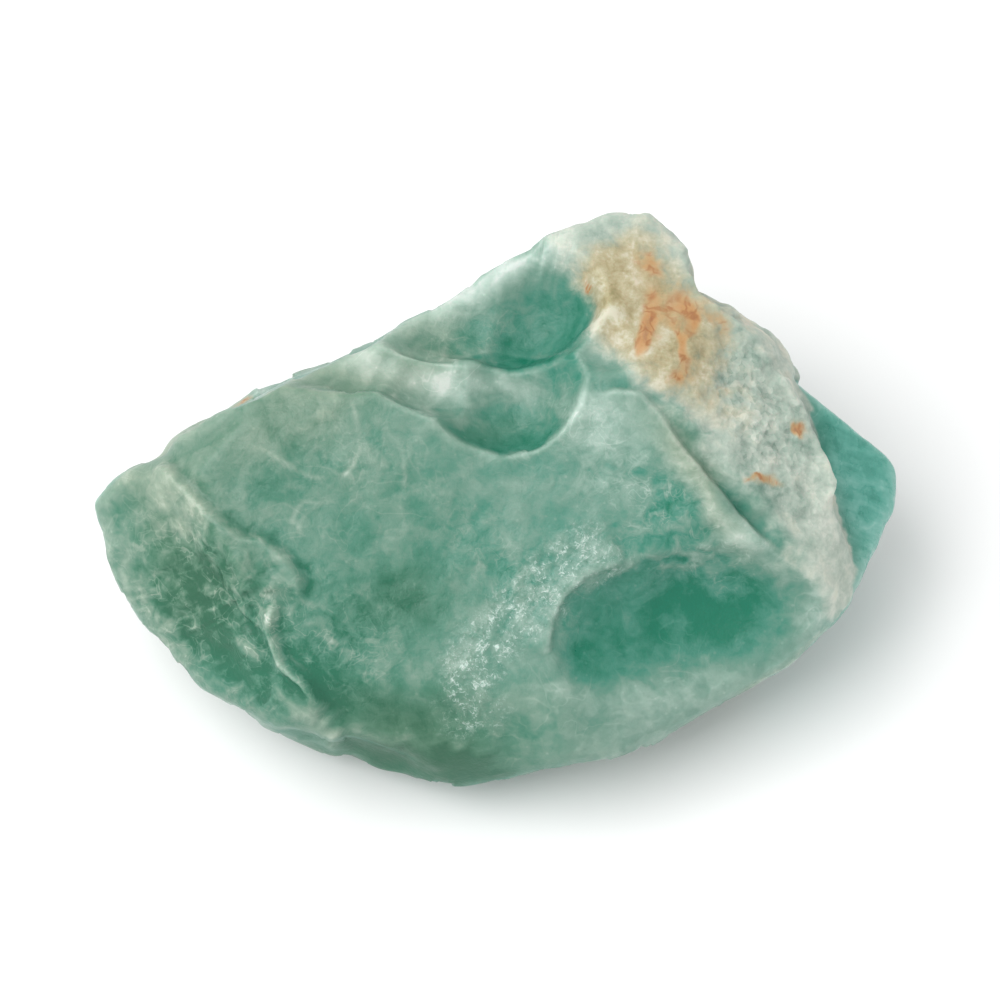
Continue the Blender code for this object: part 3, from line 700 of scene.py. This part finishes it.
# Soft patches that are milkier, or greener where the amount is below 0, in face coordinates:
# (x, y, half length, half width, turn in degrees, amount)
MILK_PATCHES = {
    # Painted light and shade on the lobe: its top is lighter where it faces the light, and its middle and
    # foot are darker where they face away, over the lobe's own darker green.
    "lobe top": (-49, 1.5, 9, 4.5, -35, 0.34),
    "lobe middle": (-43, -14, 15, 8, -50, -0.31),
    "lobe foot": (-36, -25, 10, 5, -42, -0.27),
    "left of the face": (-34, 3, 9, 6, -40, -0.06),
    "lobe edge": (-52, -12, 12, 2.6, -62, 0.16),
    "pink blade": (-31.5, -18, 5, 1.8, -65, 0.22),
    # Painted shadow that the blades cast on the face to their right.
    "shadow behind the blades": (-27, -25, 5, 2.0, -60, -0.20),
    "upper left edge": (-35, 14.5, 16, 4.0, 22, 0.04),
    "upper face": (-20, 11, 20, 6, 0, 0.04),
    "face middle": (-22, -2, 14, 9, -10, -0.03),
    "teal pool": (-13, -14.5, 10, 5, 5, -0.30),
    "lower teal": (-21, -27, 9, 6, -50, -0.14),
    "shelf": (-12, 19.5, 11, 2.6, -12, 0.40),
    "scoop parting": (3, 17.8, 8, 2.2, -8, 0.42),
    "upper scoop floor": (3.5, 29.5, 9, 3.6, 14, 0.16),
    "lower scoop's left floor": (-5, 14.6, 6, 2.6, -20, 0.14),
    "upper scoop rim": (3, 35.5, 15, 2.8, 32, 0.50),
    "rim at the cap": (18, 25, 7, 3.0, 60, 0.05),
    "frost foot": (-3, -26, 7, 5, -60, 0.10),
    "wedge crest": (13, 13.5, 7, 2.6, 20, 0.08),
    "wedge": (17, 13, 8, 5, -45, 0.28),
    "wedge foot": (18, 4, 9, 5, -30, 0.14),
    "below the wedge": (29, 0.5, 9, 5, -35, -0.14),
    # The hollow's low floor is darker: partly its own deep green, and partly painted shade where it faces
    # away from the light.
    "hollow depth": (37, -17, 9, 4.0, 3, -0.30),
    "hollow top": (29, -9.5, 10, 3.2, 5, 0.20),
    "hollow right": (45, -14.5, 6, 5, 10, 0.17),
    "groove bank": (33, 1.5, 12, 3.0, -54, 0.42),
    "green strip": (30.5, 11, 7, 1.8, -52, -0.20),
    "lower bank": (41, -7.5, 8, 2.4, -45, 0.22),
    # Painted shade: the low flank and the foot face downwards, away from the light.
    "low flank": (-11, -31, 16, 5, -8, -0.24),
    "foot": (-8, -40.5, 17, 4.5, -4, -0.62),
    "lower scoop's right": (15.5, 19.5, 2.5, 5, 10, -0.22),
    "right of hollow": (50, -20, 6, 8, 10, 0.10),
}

# The same for the steep sides
SIDE_PATCHES = {
    # Painted shade on the downward-facing foot.
    "foot": (-8, -40, 20, 7, -4, -0.60),
    "lobe edge": (-52, -16, 16, 5, -60, -0.10),
}

# Where albite is curdled through the stone, so that it looks broken up
CURD_PATCHES = {
    "below the wedge": (28, -1, 9, 6, -35, 1.0),
    "wedge": (15, 10, 10, 6, -40, 0.35),
    "beside the blades": (-21, -21, 7, 7, -50, 0.8),
    "lobe": (-42, -15, 17, 11, -50, 1.3),
    "above the frost": (4, -10, 14, 5, -40, 0.6),
    "upper middle": (-24, 9, 10, 7, 0, 0.4),
    "upper scoop": (2, 26, 12, 4, 10, 0.4),
    "hollow top": (30, -9, 12, 4, -10, 0.8),
}

# Soft patches that are greyer and more olive
OLIVE_PATCHES = {
    "lobe": (-44, -12, 18, 13, -50, 1.0),
    "lobe top": (-50, 2, 9, 5, -35, 0.5),
    "teal pool": (-13, -15, 12, 7, 5, 0.60),
    "low flank": (-12, -32, 20, 8, -8, 0.85),
    "lower scoop floor": (2, 12, 9, 3, 5, 0.35),
    "green strip": (30, 8, 9, 2.5, -50, 0.6),
    "groove bank": (33, 1.5, 12, 3.0, -54, 0.7),
    "upper left edge": (-30, 14, 22, 7, 20, 0.80),
    "shelf start": (-25, 17.5, 7, 2.5, 0, 0.60),
    "middle": (-20, 2, 20, 12, -10, 0.45),
    "upper scoop left": (-8, 25, 6, 4, 20, 0.50),
    "foot": (-8, -40, 18, 6, -4, 0.60),
}

# The rind's iron stains, ragged and uneven, and its honey-yellow patches
RUST_WANDER = ((3.4, 1.2, 127), (1.4, 0.5, 134))
RUST_STRENGTH = 0.9
RUST_WAVES = (3.0, 0.5, 129, 2)
RUST_PATCHES = {
    "main": (28.6, 30.2, 4.4, 3.0, 20, 0.66),
    "top": (24.6, 36, 4.2, 2.6, 80, 0.46),
    "long run": (30, 25, 5.0, 1.4, 84, 0.90),
    "short run": (24.6, 25, 5.0, 1.5, 72, 0.62),
    "left": (15, 33.2, 3.2, 2.0, -30, 0.34),
    "brown spot": (15.9, 31.8, 0.9, 0.7, 0, 0.9),
    "tail": (29.5, 18.8, 2.4, 1.6, 40, 0.50),
    "far tail": (33.6, 16, 2.6, 2.0, 60, 0.46),
    "right": (35.4, 26.6, 3.4, 1.6, -50, 0.46),
    "low streak": (41.6, 3.2, 2.8, 0.9, -8, 1.0),
    "edge fleck": (47.4, 11.8, 1.6, 1.0, -20, 0.80),
}
YELLOW_PATCHES = {
    "top of the cap": (26, 27, 14, 9, -52, 1.1),
    "cap left": (18, 33, 7, 4.5, 40, 0.9),
    "cap foot": (43, -5, 10, 3, -48, 0.30),
}

# Patches at random on the hidden sides: (size, seed, octaves, where the waves begin and end it, amount)
HIDDEN_PATCHES = {
    "teal": (22, 132, 1, 0.0, 0.5, 0.7),
    "olive": (24, 126, 1, -0.1, 0.5, 1.0),
    "rust": (16, 130, 4, 0.45, 0.7, 0.7),
    "curd": (15, 131, 1, -0.1, 0.6, 1.0),
}
BACK = (-15, 5)
MOST_CURD = 1.2

# Thin pale seams across the face: (line, half width, amount)
PALE_SEAMS = {
    "hook": (((-20, 15.4), (-19.2, 11), (-18.6, 8.6), (-20, 5.5), (-22, 3.2)), 0.35, 0.22),
    "curl": (((-34, 8.5), (-30, 5.8), (-26, 4), (-23.5, 3.8)), 0.35, 0.20),
    "low curl": (((-27, -5), (-28.8, -2.5), (-27, -0.2), (-23, 0)), 0.35, 0.18),
    "long thread": (((-16, 12), (-13, 9), (-11.5, 4.5), (-12.5, 0), (-11.5, -4)), 0.3, 0.14),
}
SEAM_ENDS = 0.1
SEAM_WANDER = (4, 0.7, 111)
SEAM_STRENGTH = 0.75
SEAM_WAVES = (5, 0.9, 113, 1)

# A crest's height over what is near it and its weight, its height over what is further off, and its limit
NEAR_CREST = (0.12, 0.35)
WIDE_CREST = 0.9
MOST_CREST = 1.5


def ledge_tints(points):
    """Painted light and shade along the ledges: a pale highlight line on each raised edge and a green band of
    painted shadow in the recess under it.
    """
    place = wandering(points, LINE_WANDER)
    palest = greenest = np.zeros(len(points))
    for name, (pale, green) in LEDGE_LIGHT_AND_SHADE.items():
        beside, share = beside_line(place, LEDGES[name][0])
        ends = fading(share, LEDGE_ENDS, LEDGE_ENDS)
        edge = bell(beside + PALE_EDGE[0], PALE_EDGE[1])
        recess = smooth(*RECESS_START, beside) * smooth(*RECESS_END, beside)
        palest = np.maximum(palest, pale * ends * edge)
        greenest = np.maximum(greenest, green * ends * recess)
    return (TINT_STRENGTH + swell(points, *TINT_WAVES)) * (palest - greenest)


def scar_tints(cuts):
    """Milk round the scars: a green floor, partly fresh colour and partly painted shade, and a pale lip, a
    painted highlight, that is widest where the wall is shallow.
    """
    total = 0.0
    for name, (green, depth, pale, width) in SCAR_SHADE_AND_LIP_LIGHT.items():
        cut = cuts[name]
        lip = smooth(-width, 0, cut) * smooth(LIP_INSIDE, 0, cut)
        total = total - green * smooth(FLOOR_START, depth, cut) + pale * lip
    return total


def seams(points):
    """Sum of pale seams: each follows its line, wanders, varies in strength and dies out at its ends."""
    place = wandering(points, SEAM_WANDER)
    total = np.zeros(len(points))
    for line, half_width, amount in PALE_SEAMS.values():
        beside, share = beside_line(place, line)
        total += amount * fading(share, SEAM_ENDS, SEAM_ENDS) * bell(beside, half_width)
    return total * (SEAM_STRENGTH + swell(points, *SEAM_WAVES))


def hidden_patches(points, name):
    """Random soft patches of one finish, for the hidden sides."""
    size, seed, octaves, start, stop, amount = HIDDEN_PATCHES[name]
    return amount * smooth(start, stop, rough_waves(points, size, seed, octaves))


# In the colour mixes this paints light and shade: crests are paler, partly from bruised edges and partly as a
# painted highlight, and creases are greener as painted shade. The stain mix uses it to keep rust off crests.
def crests(points, normals, quads):
    """How far the surface bulges over the middle of what is near it, from -1 in creases to 1 on crests."""
    near = ((points - eased(points, quads, 2)) * normals).sum(1)
    wide = ((points - eased(points, quads, 12)) * normals).sum(1)
    bulge = NEAR_CREST[1] * np.tanh(near / NEAR_CREST[0]) + wide / WIDE_CREST
    return np.clip(bulge, -MOST_CREST, MOST_CREST)


def finish_shares(points, normals, quads, shares, cuts):
    """The share of each finish at each point, by name."""
    front, spur, rind = shares["front"], shares["spur"], shares["rind"]
    side = 1 - front
    place = wandering(points, PATCH_WANDER)
    # Scar floors take painted shade, and scar lips take painted highlights.
    milk = FACE_MILK + patches(place, MILK_PATCHES) + seams(points) + scar_tints(cuts)
    # The ledge share is painted light and shade: highlights on raised edges, shadows in the recesses beside
    # them.
    milk = front * (milk + shares["tints"] + FROST_MILK * shares["frost"])
    milk = milk * (1 - spur) + spur * (SPUR_MILK + swell(points, *SPUR_CLOUDS))
    milk += side * (SIDE_MILK + swell(points, *SIDE_CLOUDS) + patches(points.T, SIDE_PATCHES))
    milk += WISP_MILK * (WISPS_ELSEWHERE + shares["lobe"]) * wisps(points)
    rust = patches(wandering(points, *RUST_WANDER), RUST_PATCHES)
    rust *= RUST_STRENGTH + swell(points, *RUST_WAVES)
    behind = side * smooth(*BACK, points[:, 1])
    curd = np.minimum(patches(place, CURD_PATCHES), MOST_CURD)
    return {
        "milk": milk,
        "olive": front * patches(place, OLIVE_PATCHES) + side * hidden_patches(points, "olive"),
        "teal": np.maximum(spur, behind * hidden_patches(points, "teal")),
        "rust": rind * rust + side * hidden_patches(points, "rust"),
        "yellow": rind * patches(place, YELLOW_PATCHES),
        "curd": front * curd + side * hidden_patches(points, "curd"),
        "sugar": rind * patches(points.T, SUGAR_PATCHES),
        "crest": crests(points, normals, quads),
        "frost": shares["frost"],
        "rind": rind,
    }


# Blue-green feldspar with white albite in it: a waxy break, a dull sugary rind and rusty stains.
# Noises in the stone are mixed with the shares above. Each mix picks a colour, or covers the one below it.

# Noises in the stone: (size in millimetres, detail, roughness, distortion)
NOISES = {
    "cloud": (9.0, 4, 0.55, 0.4),
    "curdle": (2.6, 4, 0.58, 0.4),
    "plates": (5.5, 3, 0.50, 0.5),
    "veils": (8.0, 2, 0.50, 0.8),
    "veil patches": (14.4, 2, 0.55, 0.0),
    "curls": (3.0, 2, 0.50, 1.1),
    "curl patches": (5.5, 2, 0.55, 0.0),
    "streaks": (2.6, 3, 0.60, 0.3),
    "grain": (0.6, 2, 0.60, 0.0),
    "strokes": (1.3, 2, 0.60, 1.2),
    "veins": (3.2, 2, 0.50, 0.6),
}
# The half width of those that become threads, and where those that become patches begin and are whole
THREADS = {"veils": 0.022, "curls": 0.040, "strokes": 0.05, "veins": 0.075}
PATCHES = {"plates": (-0.03, 0.06), "veil patches": (-0.04, 0.10), "curl patches": (-0.12, 0.06)}

# Pale streaks: their size along each axis, and how they are turned
STREAK_SIZES = (5.5, 1.1, 5.5)
STREAK_TURN = (0.4, 0.3, 1.15)

# Size of the flecks, of the rind's crystals and of the sparks in the crushed band
FLECK_SIZE = 1.5
CRYSTAL_SIZE = 0.9
SPARK_SIZE = 0.5

# What each mix starts from, and how much of each part is added
MIXES = {
    "broken": (-0.06, {"curdle": 1.0, "curls": 0.24}),
    # The crest part of the milkiness, weathered and lumps mixes is painted light on crests and painted shade
    # in creases.
    "milkiness": (-0.045, {"milk": 1.0, "cloud": 0.40, "curdle": 0.40, "plates": 0.09, "veils": 0.09,
                           "streaks": 0.10, "flecks": 0.10, "crest": 0.12, "grain": 0.10, "broken": 1.0}),
    "teal milk": (0.0, {"milkiness": 1.0, "streaks": 0.30}),
    # The crushed mix picks sparse white flecks: whitened crushed grains and painted glints.
    "crushed": (0.0, {"spark": 0.5, "strokes": 0.45, "curdle": 2.2, "grain": 0.5}),
    "speckle": (-0.25, {"crystal": 0.5}),
    "weathered": (0.56, {"cloud": 1.3, "curdle": 1.2, "grain": 0.4, "crest": 0.16, "speckle": 1.0}),
    "covered": (0.0, {"rind": 1.0, "cloud": 1.0, "curdle": 0.5}),
    "honey": (0.0, {"yellow": 0.8, "cloud": 1.2, "curdle": 1.0}),
    "lumps": (0.50, {"curdle": 2.0, "cloud": 1.4, "crest": 0.12, "grain": 0.6}),
    "stain": (1.0, {"curdle": 1.6, "cloud": 0.8, "crest": -0.20}),
    "dullness": (0.40, {"curdle": 0.5, "rind": 0.25, "frost": -0.14, "teal": -0.10}),
    "bumps": (0.0, {"curdle": 0.50, "grain": 0.20, "sugary": 0.40, "frosty": 0.50, "streaks": 0.10,
                    "curdled": 0.7}),
}

# Where each mix begins to show and where it is whole; a fleck is only shown for some cells
SPANS = {
    "fleck": (0.22, 0.08),
    "shown": (0.62, 0.70),
    "crushed": (0.40, 1.25),
    "covered": (0.20, 0.95),
    "honey": (0.05, 0.75),
    "stain": (0.10, 0.60),
    "vein": (0.20, 0.60),
}
STAIN_COVER = 0.85
VEIN_COVER = 0.6

BUMP_STRENGTH = 0.75
BUMP_HEIGHT = 0.40
SURFACE = {
    "IOR": 1.53,
    "Specular IOR Level": 0.32,
    "Subsurface Weight": 0.35,
    "Subsurface Radius": (0.0020, 0.0036, 0.0030),
    "Subsurface Scale": 1.0,
}

# Colours from greenest to milkiest, as (share of milk, red, green, blue) in screen values
FRESH_GREENS = ((0.00, 16, 109, 85), (0.22, 63, 127, 109), (0.45, 103, 140, 125), (0.65, 132, 159, 146),
                (0.85, 161, 182, 171), (1.00, 190, 199, 193))
OLIVE_GREENS = ((0.00, 42, 93, 69), (0.22, 75, 115, 93), (0.45, 111, 137, 119), (0.65, 136, 154, 136),
                (0.85, 163, 175, 159), (1.00, 190, 196, 182))
TEAL_GREENS = ((0.00, 0, 105, 91), (0.22, 47, 127, 111), (0.45, 85, 157, 142), (0.65, 121, 177, 165),
               (0.85, 158, 190, 180), (1.00, 192, 205, 199))
RIND_COLOURS = ((0.00, 112, 134, 122), (0.35, 146, 162, 150), (0.65, 168, 180, 168), (1.00, 196, 202, 191))
HONEY_COLOURS = ((0.00, 130, 122, 84), (0.35, 156, 145, 110), (0.65, 172, 164, 134), (1.00, 194, 190, 170))
RUST_COLOURS = ((0.00, 180, 166, 132), (0.40, 180, 148, 104), (0.75, 178, 130, 80), (1.00, 150, 100, 60))
RUST_VEIN = (146, 92, 54)
# White of crushed grains, also used to paint glints in the crushed band
CRUSHED_WHITE_AND_GLINTS = (188, 206, 198)


def screen(red, green, blue):
    """Screen values from 0 to 255 as the linear colour that a shader takes."""
    values = np.array([red, green, blue]) / 255
    return (*np.where(values > 0.04045, ((values + 0.055) / 1.055) ** 2.4, values / 12.92), 1.0)


class Recipe:
    """A material's nodes, and the values found by name. An input is a plain value or a node's output."""

    def __init__(self, name):
        self.material = bpy.data.materials.new(name)
        self.material.use_nodes = True
        self.tree = self.material.node_tree
        self.shader = self.tree.nodes["Principled BSDF"]
        self.place = self.add("TexCoord", {}, output="Object")
        self.found = {}

    def add(self, kind, inputs, output=0, **settings):
        """Adds a node with the given settings and inputs, and returns one of its outputs."""
        node = self.tree.nodes.new("ShaderNode" + kind)
        for name, value in settings.items():
            setattr(node, name, value)
        for name, value in inputs.items():
            self.feed(node.inputs[name], value)
        return node.outputs[output]

    def feed(self, socket, value):
        """Links an output to a socket, or sets the socket's own value."""
        if isinstance(value, bpy.types.NodeSocket):
            self.tree.links.new(value, socket)
        else:
            socket.default_value = value

    def mix(self, name):
        """The named mix: what it starts from, plus each of its parts times its amount."""
        total, amounts = MIXES[name]
        for part, amount in amounts.items():
            total = self.add("Math", {0: self.found[part], 1: amount, 2: total}, operation="MULTIPLY_ADD")
        return total

    def product(self, first, second):
        """Two values multiplied."""
        return self.add("Math", {0: first, 1: second}, operation="MULTIPLY")

    def noise(self, name, place):
        """The named noise: cloudy, and about half a unit high round 0."""
        size, detail, roughness, distortion = NOISES[name]
        value = self.add("TexNoise", {"Vector": place, "Scale": 1 / (size * MM), "Detail": detail,
                                      "Roughness": roughness, "Distortion": distortion}, output="Fac")
        return self.add("Math", {0: value, 1: 0.5}, operation="SUBTRACT")

    def cells(self, size, channel):
        """Scattered cells: the distance to the middle of the nearest one, and a random value for it."""
        distance = self.add("TexVoronoi", {"Vector": self.place, "Scale": 1 / (size * MM)}, output="Distance")
        colour = distance.node.outputs["Color"]
        return distance, self.add("SeparateColor", {"Color": colour}, output=channel)

    def between(self, value, start, stop):
        """0 at start and 1 at stop, with a smooth rise between them."""
        return self.add("MapRange", {"Value": value, "From Min": start, "From Max": stop},
                        interpolation_type="SMOOTHSTEP")

    def ramp(self, value, colours):
        """A colour picked by a value from 0 to 1."""
        socket = self.add("ValToRGB", {"Fac": value}, output="Color")
        steps = socket.node.color_ramp.elements
        for number, (share, *colour) in enumerate(colours):
            step = steps[number] if number < 2 else steps.new(share)
            step.position = share
            step.color = screen(*colour)
        return socket

    def blend(self, share, first, second):
        """The first colour where the share is 0 and the second where it is 1."""
        return self.add("Mix", {0: share, 6: first, 7: second}, output=2, data_type="RGBA")


def patterns(stone):
    """Finds the stored shares and the patterns in the stone, up to its milkiness."""
    found = stone.found
    for name in ("milk", "olive", "teal", "rust", "yellow", "curd", "crest", "frost", "rind", "sugar"):
        found[name] = stone.add("Attribute", {}, output="Fac", attribute_name=name)
    stretch = tuple(NOISES["streaks"][0] / size for size in STREAK_SIZES)
    turned = stone.add("Mapping", {"Vector": stone.place, "Rotation": STREAK_TURN, "Scale": stretch})
    for name in NOISES:
        found[name] = stone.noise(name, turned if name == "streaks" else stone.place)
    for name, width in THREADS.items():
        apart = stone.add("Math", {0: found[name]}, operation="ABSOLUTE")
        found[name] = stone.between(apart, width, 0.0)
    for name, span in PATCHES.items():
        found[name] = stone.between(found[name], *span)
    fleck, shown = stone.cells(FLECK_SIZE, "Red")
    shown = stone.between(shown, *SPANS["shown"])
    found["flecks"] = stone.product(stone.between(fleck, *SPANS["fleck"]), shown)
    found["veils"] = stone.product(found["veils"], found["veil patches"])
    found["curls"] = stone.product(found["curls"], found["curl patches"])
    found["broken"] = stone.product(found["curd"], stone.mix("broken"))
    found["milkiness"] = stone.mix("milkiness")
    return found


def amazonite():
    """The material: milk in green feldspar, then the crushed band, the rind and the stains over it."""
    stone = Recipe("amazonite")
    found = patterns(stone)
    fresh = stone.ramp(found["milkiness"], FRESH_GREENS)
    body = stone.blend(found["olive"], fresh, stone.ramp(found["milkiness"], OLIVE_GREENS))
    body = stone.blend(found["teal"], body, stone.ramp(stone.mix("teal milk"), TEAL_GREENS))

    # Sparse white flecks in the crushed band: whitened crushed grains and painted glints of light.
    found["spark"] = stone.cells(SPARK_SIZE, "Red")[1]
    crushed = stone.product(found["frost"], stone.between(stone.mix("crushed"), *SPANS["crushed"]))
    body = stone.blend(crushed, body, screen(*CRUSHED_WHITE_AND_GLINTS))

    pits, found["crystal"] = stone.cells(CRYSTAL_SIZE, "Green")
    found["speckle"] = stone.product(found["sugar"], stone.mix("speckle"))
    covered = stone.between(stone.mix("covered"), *SPANS["covered"])
    body = stone.blend(covered, body, stone.ramp(stone.mix("weathered"), RIND_COLOURS))
    honey = stone.product(found["rind"], stone.between(stone.mix("honey"), *SPANS["honey"]))
    body = stone.blend(honey, body, stone.ramp(stone.mix("lumps"), HONEY_COLOURS))
    stain = stone.product(found["rust"], stone.mix("stain"))
    stained = stone.product(stone.between(stain, *SPANS["stain"]), STAIN_COVER)
    body = stone.blend(stained, body, stone.ramp(stain, RUST_COLOURS))
    veins = stone.product(stone.product(found["veins"], VEIN_COVER), stone.between(stain, *SPANS["vein"]))
    body = stone.blend(veins, body, screen(*RUST_VEIN))

    found["sugary"] = stone.product(found["sugar"], pits)
    found["frosty"] = stone.product(found["frost"], found["spark"])
    found["curdled"] = stone.product(found["curd"], found["curdle"])
    bump = {"Height": stone.mix("bumps"), "Strength": BUMP_STRENGTH, "Distance": BUMP_HEIGHT * MM}
    stone.feed(stone.shader.inputs["Base Color"], body)
    stone.feed(stone.shader.inputs["Roughness"], stone.mix("dullness"))
    stone.feed(stone.shader.inputs["Normal"], stone.add("Bump", bump))
    for name, value in SURFACE.items():
        stone.shader.inputs[name].default_value = value
    return stone.material


# The stone itself, resting on its small flat spot.
# One piece, worked out on a closed grid as fine as the grain allows. What would lie under the ground is drawn
# back along its ray to the resting surface, over no less than a share of the ray's length.
REST_DRAW = 0.25

# Where the broad face, the front and the spur begin and are whole: the upward part of the normal, the height,
# and how far right; and waves that make the border of the spur ragged
FACING_TURN = (0.20, 0.50)
FRONT_TURN = (0.0, 0.35)
FACE_HEIGHT = (-8, 0)
FRONT_HEIGHT = (-20, -8)
SPUR_HEIGHT = (-26, -16)
SPUR_ROOT = (39, 41)
SPUR_RAGS = (3.0, 0.16, 78, 3)
SPUR_BORDER = (0.3, 0.7)

# The rind's softness and the waves of its edge, in its relief and in its colour
RIND_IN_RELIEF = (1.75, (6, -0.075, 63, 1))
RIND_IN_COLOUR = (4.0, (6, -2.1, 63, 1))


def placed(name, data):
    """Adds an object with this data to the scene."""
    item = bpy.data.objects.new(name, data)
    bpy.context.scene.collection.objects.link(item)
    return item


def face_shares(points, normals, quads, spur):
    """The shares of the surface that are the broad face, the front, the spur and the steep sides."""
    facing = spread(smooth(*FACING_TURN, normals[:, 2]), quads, rounds=4)
    spur = spread(spur * smooth(*SPUR_ROOT, points[:, 0]), quads, rounds=3)
    spur = smooth(*SPUR_BORDER, spur + swell(points, *SPUR_RAGS))
    spur_face = spread(smooth(*SPUR_HEIGHT, points[:, 2]) * spur, quads, rounds=8)
    front = smooth(*FRONT_TURN, normals[:, 2]) * smooth(*FRONT_HEIGHT, points[:, 2])
    return facing, spur, {"spur": spur_face, "front": np.maximum(front, spur_face)}


def worn_at_spur(points, quads, spur):
    """The points smoothed once, and smoothed more along the border of the spur."""
    points = eased(points, quads, rounds=1)
    border = np.minimum(spread(4 * spur * (1 - spur), quads, rounds=2), 1)
    return points + border[:, None] * (eased(points, quads, rounds=5) - points)


def on_ground(points, ray):
    """The points in ground coordinates; what would lie below 0 is drawn back along its ray, up to 0."""
    ground, ray = face_to_ground(points), face_to_ground(ray)
    ground[:, 2] += FACE_CENTRE_HEIGHT
    sunk = np.minimum(ground[:, 2], 0)
    ground -= ray * (sunk / np.minimum(ray[:, 2], -REST_DRAW))[:, None]
    ground[:, 2] = np.maximum(ground[:, 2], 0)
    return ground


def finished_surface():
    """The stone's points in ground coordinates, its quads, and its shares, in millimetres."""
    points, ray, quads, spur, cuts = base_surface(GRID)
    normals = outward(points, quads)
    facing, spur, shares = face_shares(points, normals, quads, spur)
    steep = (1 - facing) * (1 - shares["spur"])
    on_face = facing * smooth(*FACE_HEIGHT, points[:, 2])
    rind = rind_share(points, spur, *RIND_IN_RELIEF)
    # Painted highlights on the raised edges of the ledges and painted shadows in their recesses.
    shares["tints"] = ledge_tints(points)
    height = line_relief(points, on_face) + lobe_relief(points, on_face) + rind_relief(points, rind)
    height += side_relief(points, steep) + facing * swell(points, *FACE_WAVES)
    way = ray + normals
    points = points + way / np.linalg.norm(way, axis=1)[:, None] * height[:, None]
    points = worn_at_spur(points, quads, spur)
    shares["rind"] = rind_share(points, spur, *RIND_IN_COLOUR)
    shares["frost"] = frost_share(points, on_face)
    shares["lobe"] = lobe_share(points, on_face)
    grain = fine_relief(points, rind, shares["frost"], shares["lobe"], steep)
    points += outward(points, quads) * grain[:, None]
    finish = finish_shares(points, outward(points, quads), quads, shares, cuts)
    return on_ground(points, ray), quads, finish


def add_stone():
    """The finished stone, in the middle of the solid that it replaces, with its shares as attributes."""
    points, quads, finish = finished_surface()
    low, high = (np.array(corner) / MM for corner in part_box("amazonite_stone"))
    points[:, :2] += ((low + high) / 2)[:2] - (points.min(0) + points.max(0))[:2] / 2
    mesh = bpy.data.meshes.new("rough_stone")
    mesh.from_pydata((points * MM).tolist(), [], quads.tolist())
    mesh.polygons.foreach_set("use_smooth", np.ones(len(quads), bool))
    for name, values in finish.items():
        share = mesh.attributes.new(name, "FLOAT", "POINT")
        share.data.foreach_set("value", values.astype(np.float32))
    mesh.materials.append(amazonite())
    return placed("rough_stone", mesh)


stone = add_stone()
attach(stone, "root")
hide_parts("amazonite_stone")


# The table: a plain white sheet, far wider than the view.
FLOOR_HALF_WIDTH = 1.5
FLOOR_WHITE = (0.86, 0.86, 0.86, 1)
FLOOR_ROUGHNESS = 0.9


def add_floor():
    """A flat square under the stone, in matt white."""
    half = FLOOR_HALF_WIDTH
    corners = [(-half, -half, 0), (half, -half, 0), (half, half, 0), (-half, half, 0)]
    mesh = bpy.data.meshes.new("floor")
    mesh.from_pydata(corners, [], [(0, 1, 2, 3)])
    paper = bpy.data.materials.new("white_paper")
    paper.use_nodes = True
    shader = paper.node_tree.nodes["Principled BSDF"]
    shader.inputs["Base Color"].default_value = FLOOR_WHITE
    shader.inputs["Roughness"].default_value = FLOOR_ROUGHNESS
    mesh.materials.append(paper)
    return placed("floor", mesh)


add_floor()


# The light: a white room and one large soft lamp, high on the left.
ROOM_LIGHT = 0.85
LAMP_PLACE = (-0.60, -0.20, 1.10)
LAMP_SIZE = 1.0
LAMP_POWER = 13.0


def add_light():
    """An even white world, and a square lamp that faces the stone."""
    world = bpy.data.worlds.new("white_room")
    world.use_nodes = True
    background = world.node_tree.nodes["Background"].inputs
    background["Color"].default_value = (1, 1, 1, 1)
    background["Strength"].default_value = ROOM_LIGHT
    bpy.context.scene.world = world
    lamp = placed("soft_lamp", bpy.data.lights.new("soft_lamp", "AREA"))
    lamp.data.size = LAMP_SIZE
    lamp.data.energy = LAMP_POWER
    lamp.location = LAMP_PLACE
    lamp.rotation_euler = (-Vector(LAMP_PLACE)).to_track_quat("-Z", "Y").to_euler()


add_light()
bpy.context.scene.view_settings.view_transform = "Standard"


# The camera: a long lens that looks down on the broad face, as the photograph does.
VIEW_RISE = np.radians(62)
VIEW_DISTANCE = 0.85
VIEW_CENTRE = (0.0004, -0.0015, 0.0307)
VIEW_WIDTH = 0.152
SENSOR_WIDTH = 36.0


def add_camera():
    """A camera in front of the stone and above it, whose frame is the view's width at the stone."""
    camera = placed("camera", bpy.data.cameras.new("camera"))
    camera.data.sensor_width = SENSOR_WIDTH
    camera.data.lens = SENSOR_WIDTH * VIEW_DISTANCE / VIEW_WIDTH
    away = Vector((0, -np.cos(VIEW_RISE), np.sin(VIEW_RISE)))
    camera.location = Vector(VIEW_CENTRE) + away * VIEW_DISTANCE
    camera.rotation_euler = (-away).to_track_quat("-Z", "Y").to_euler()
    bpy.context.scene.camera = camera


add_camera()
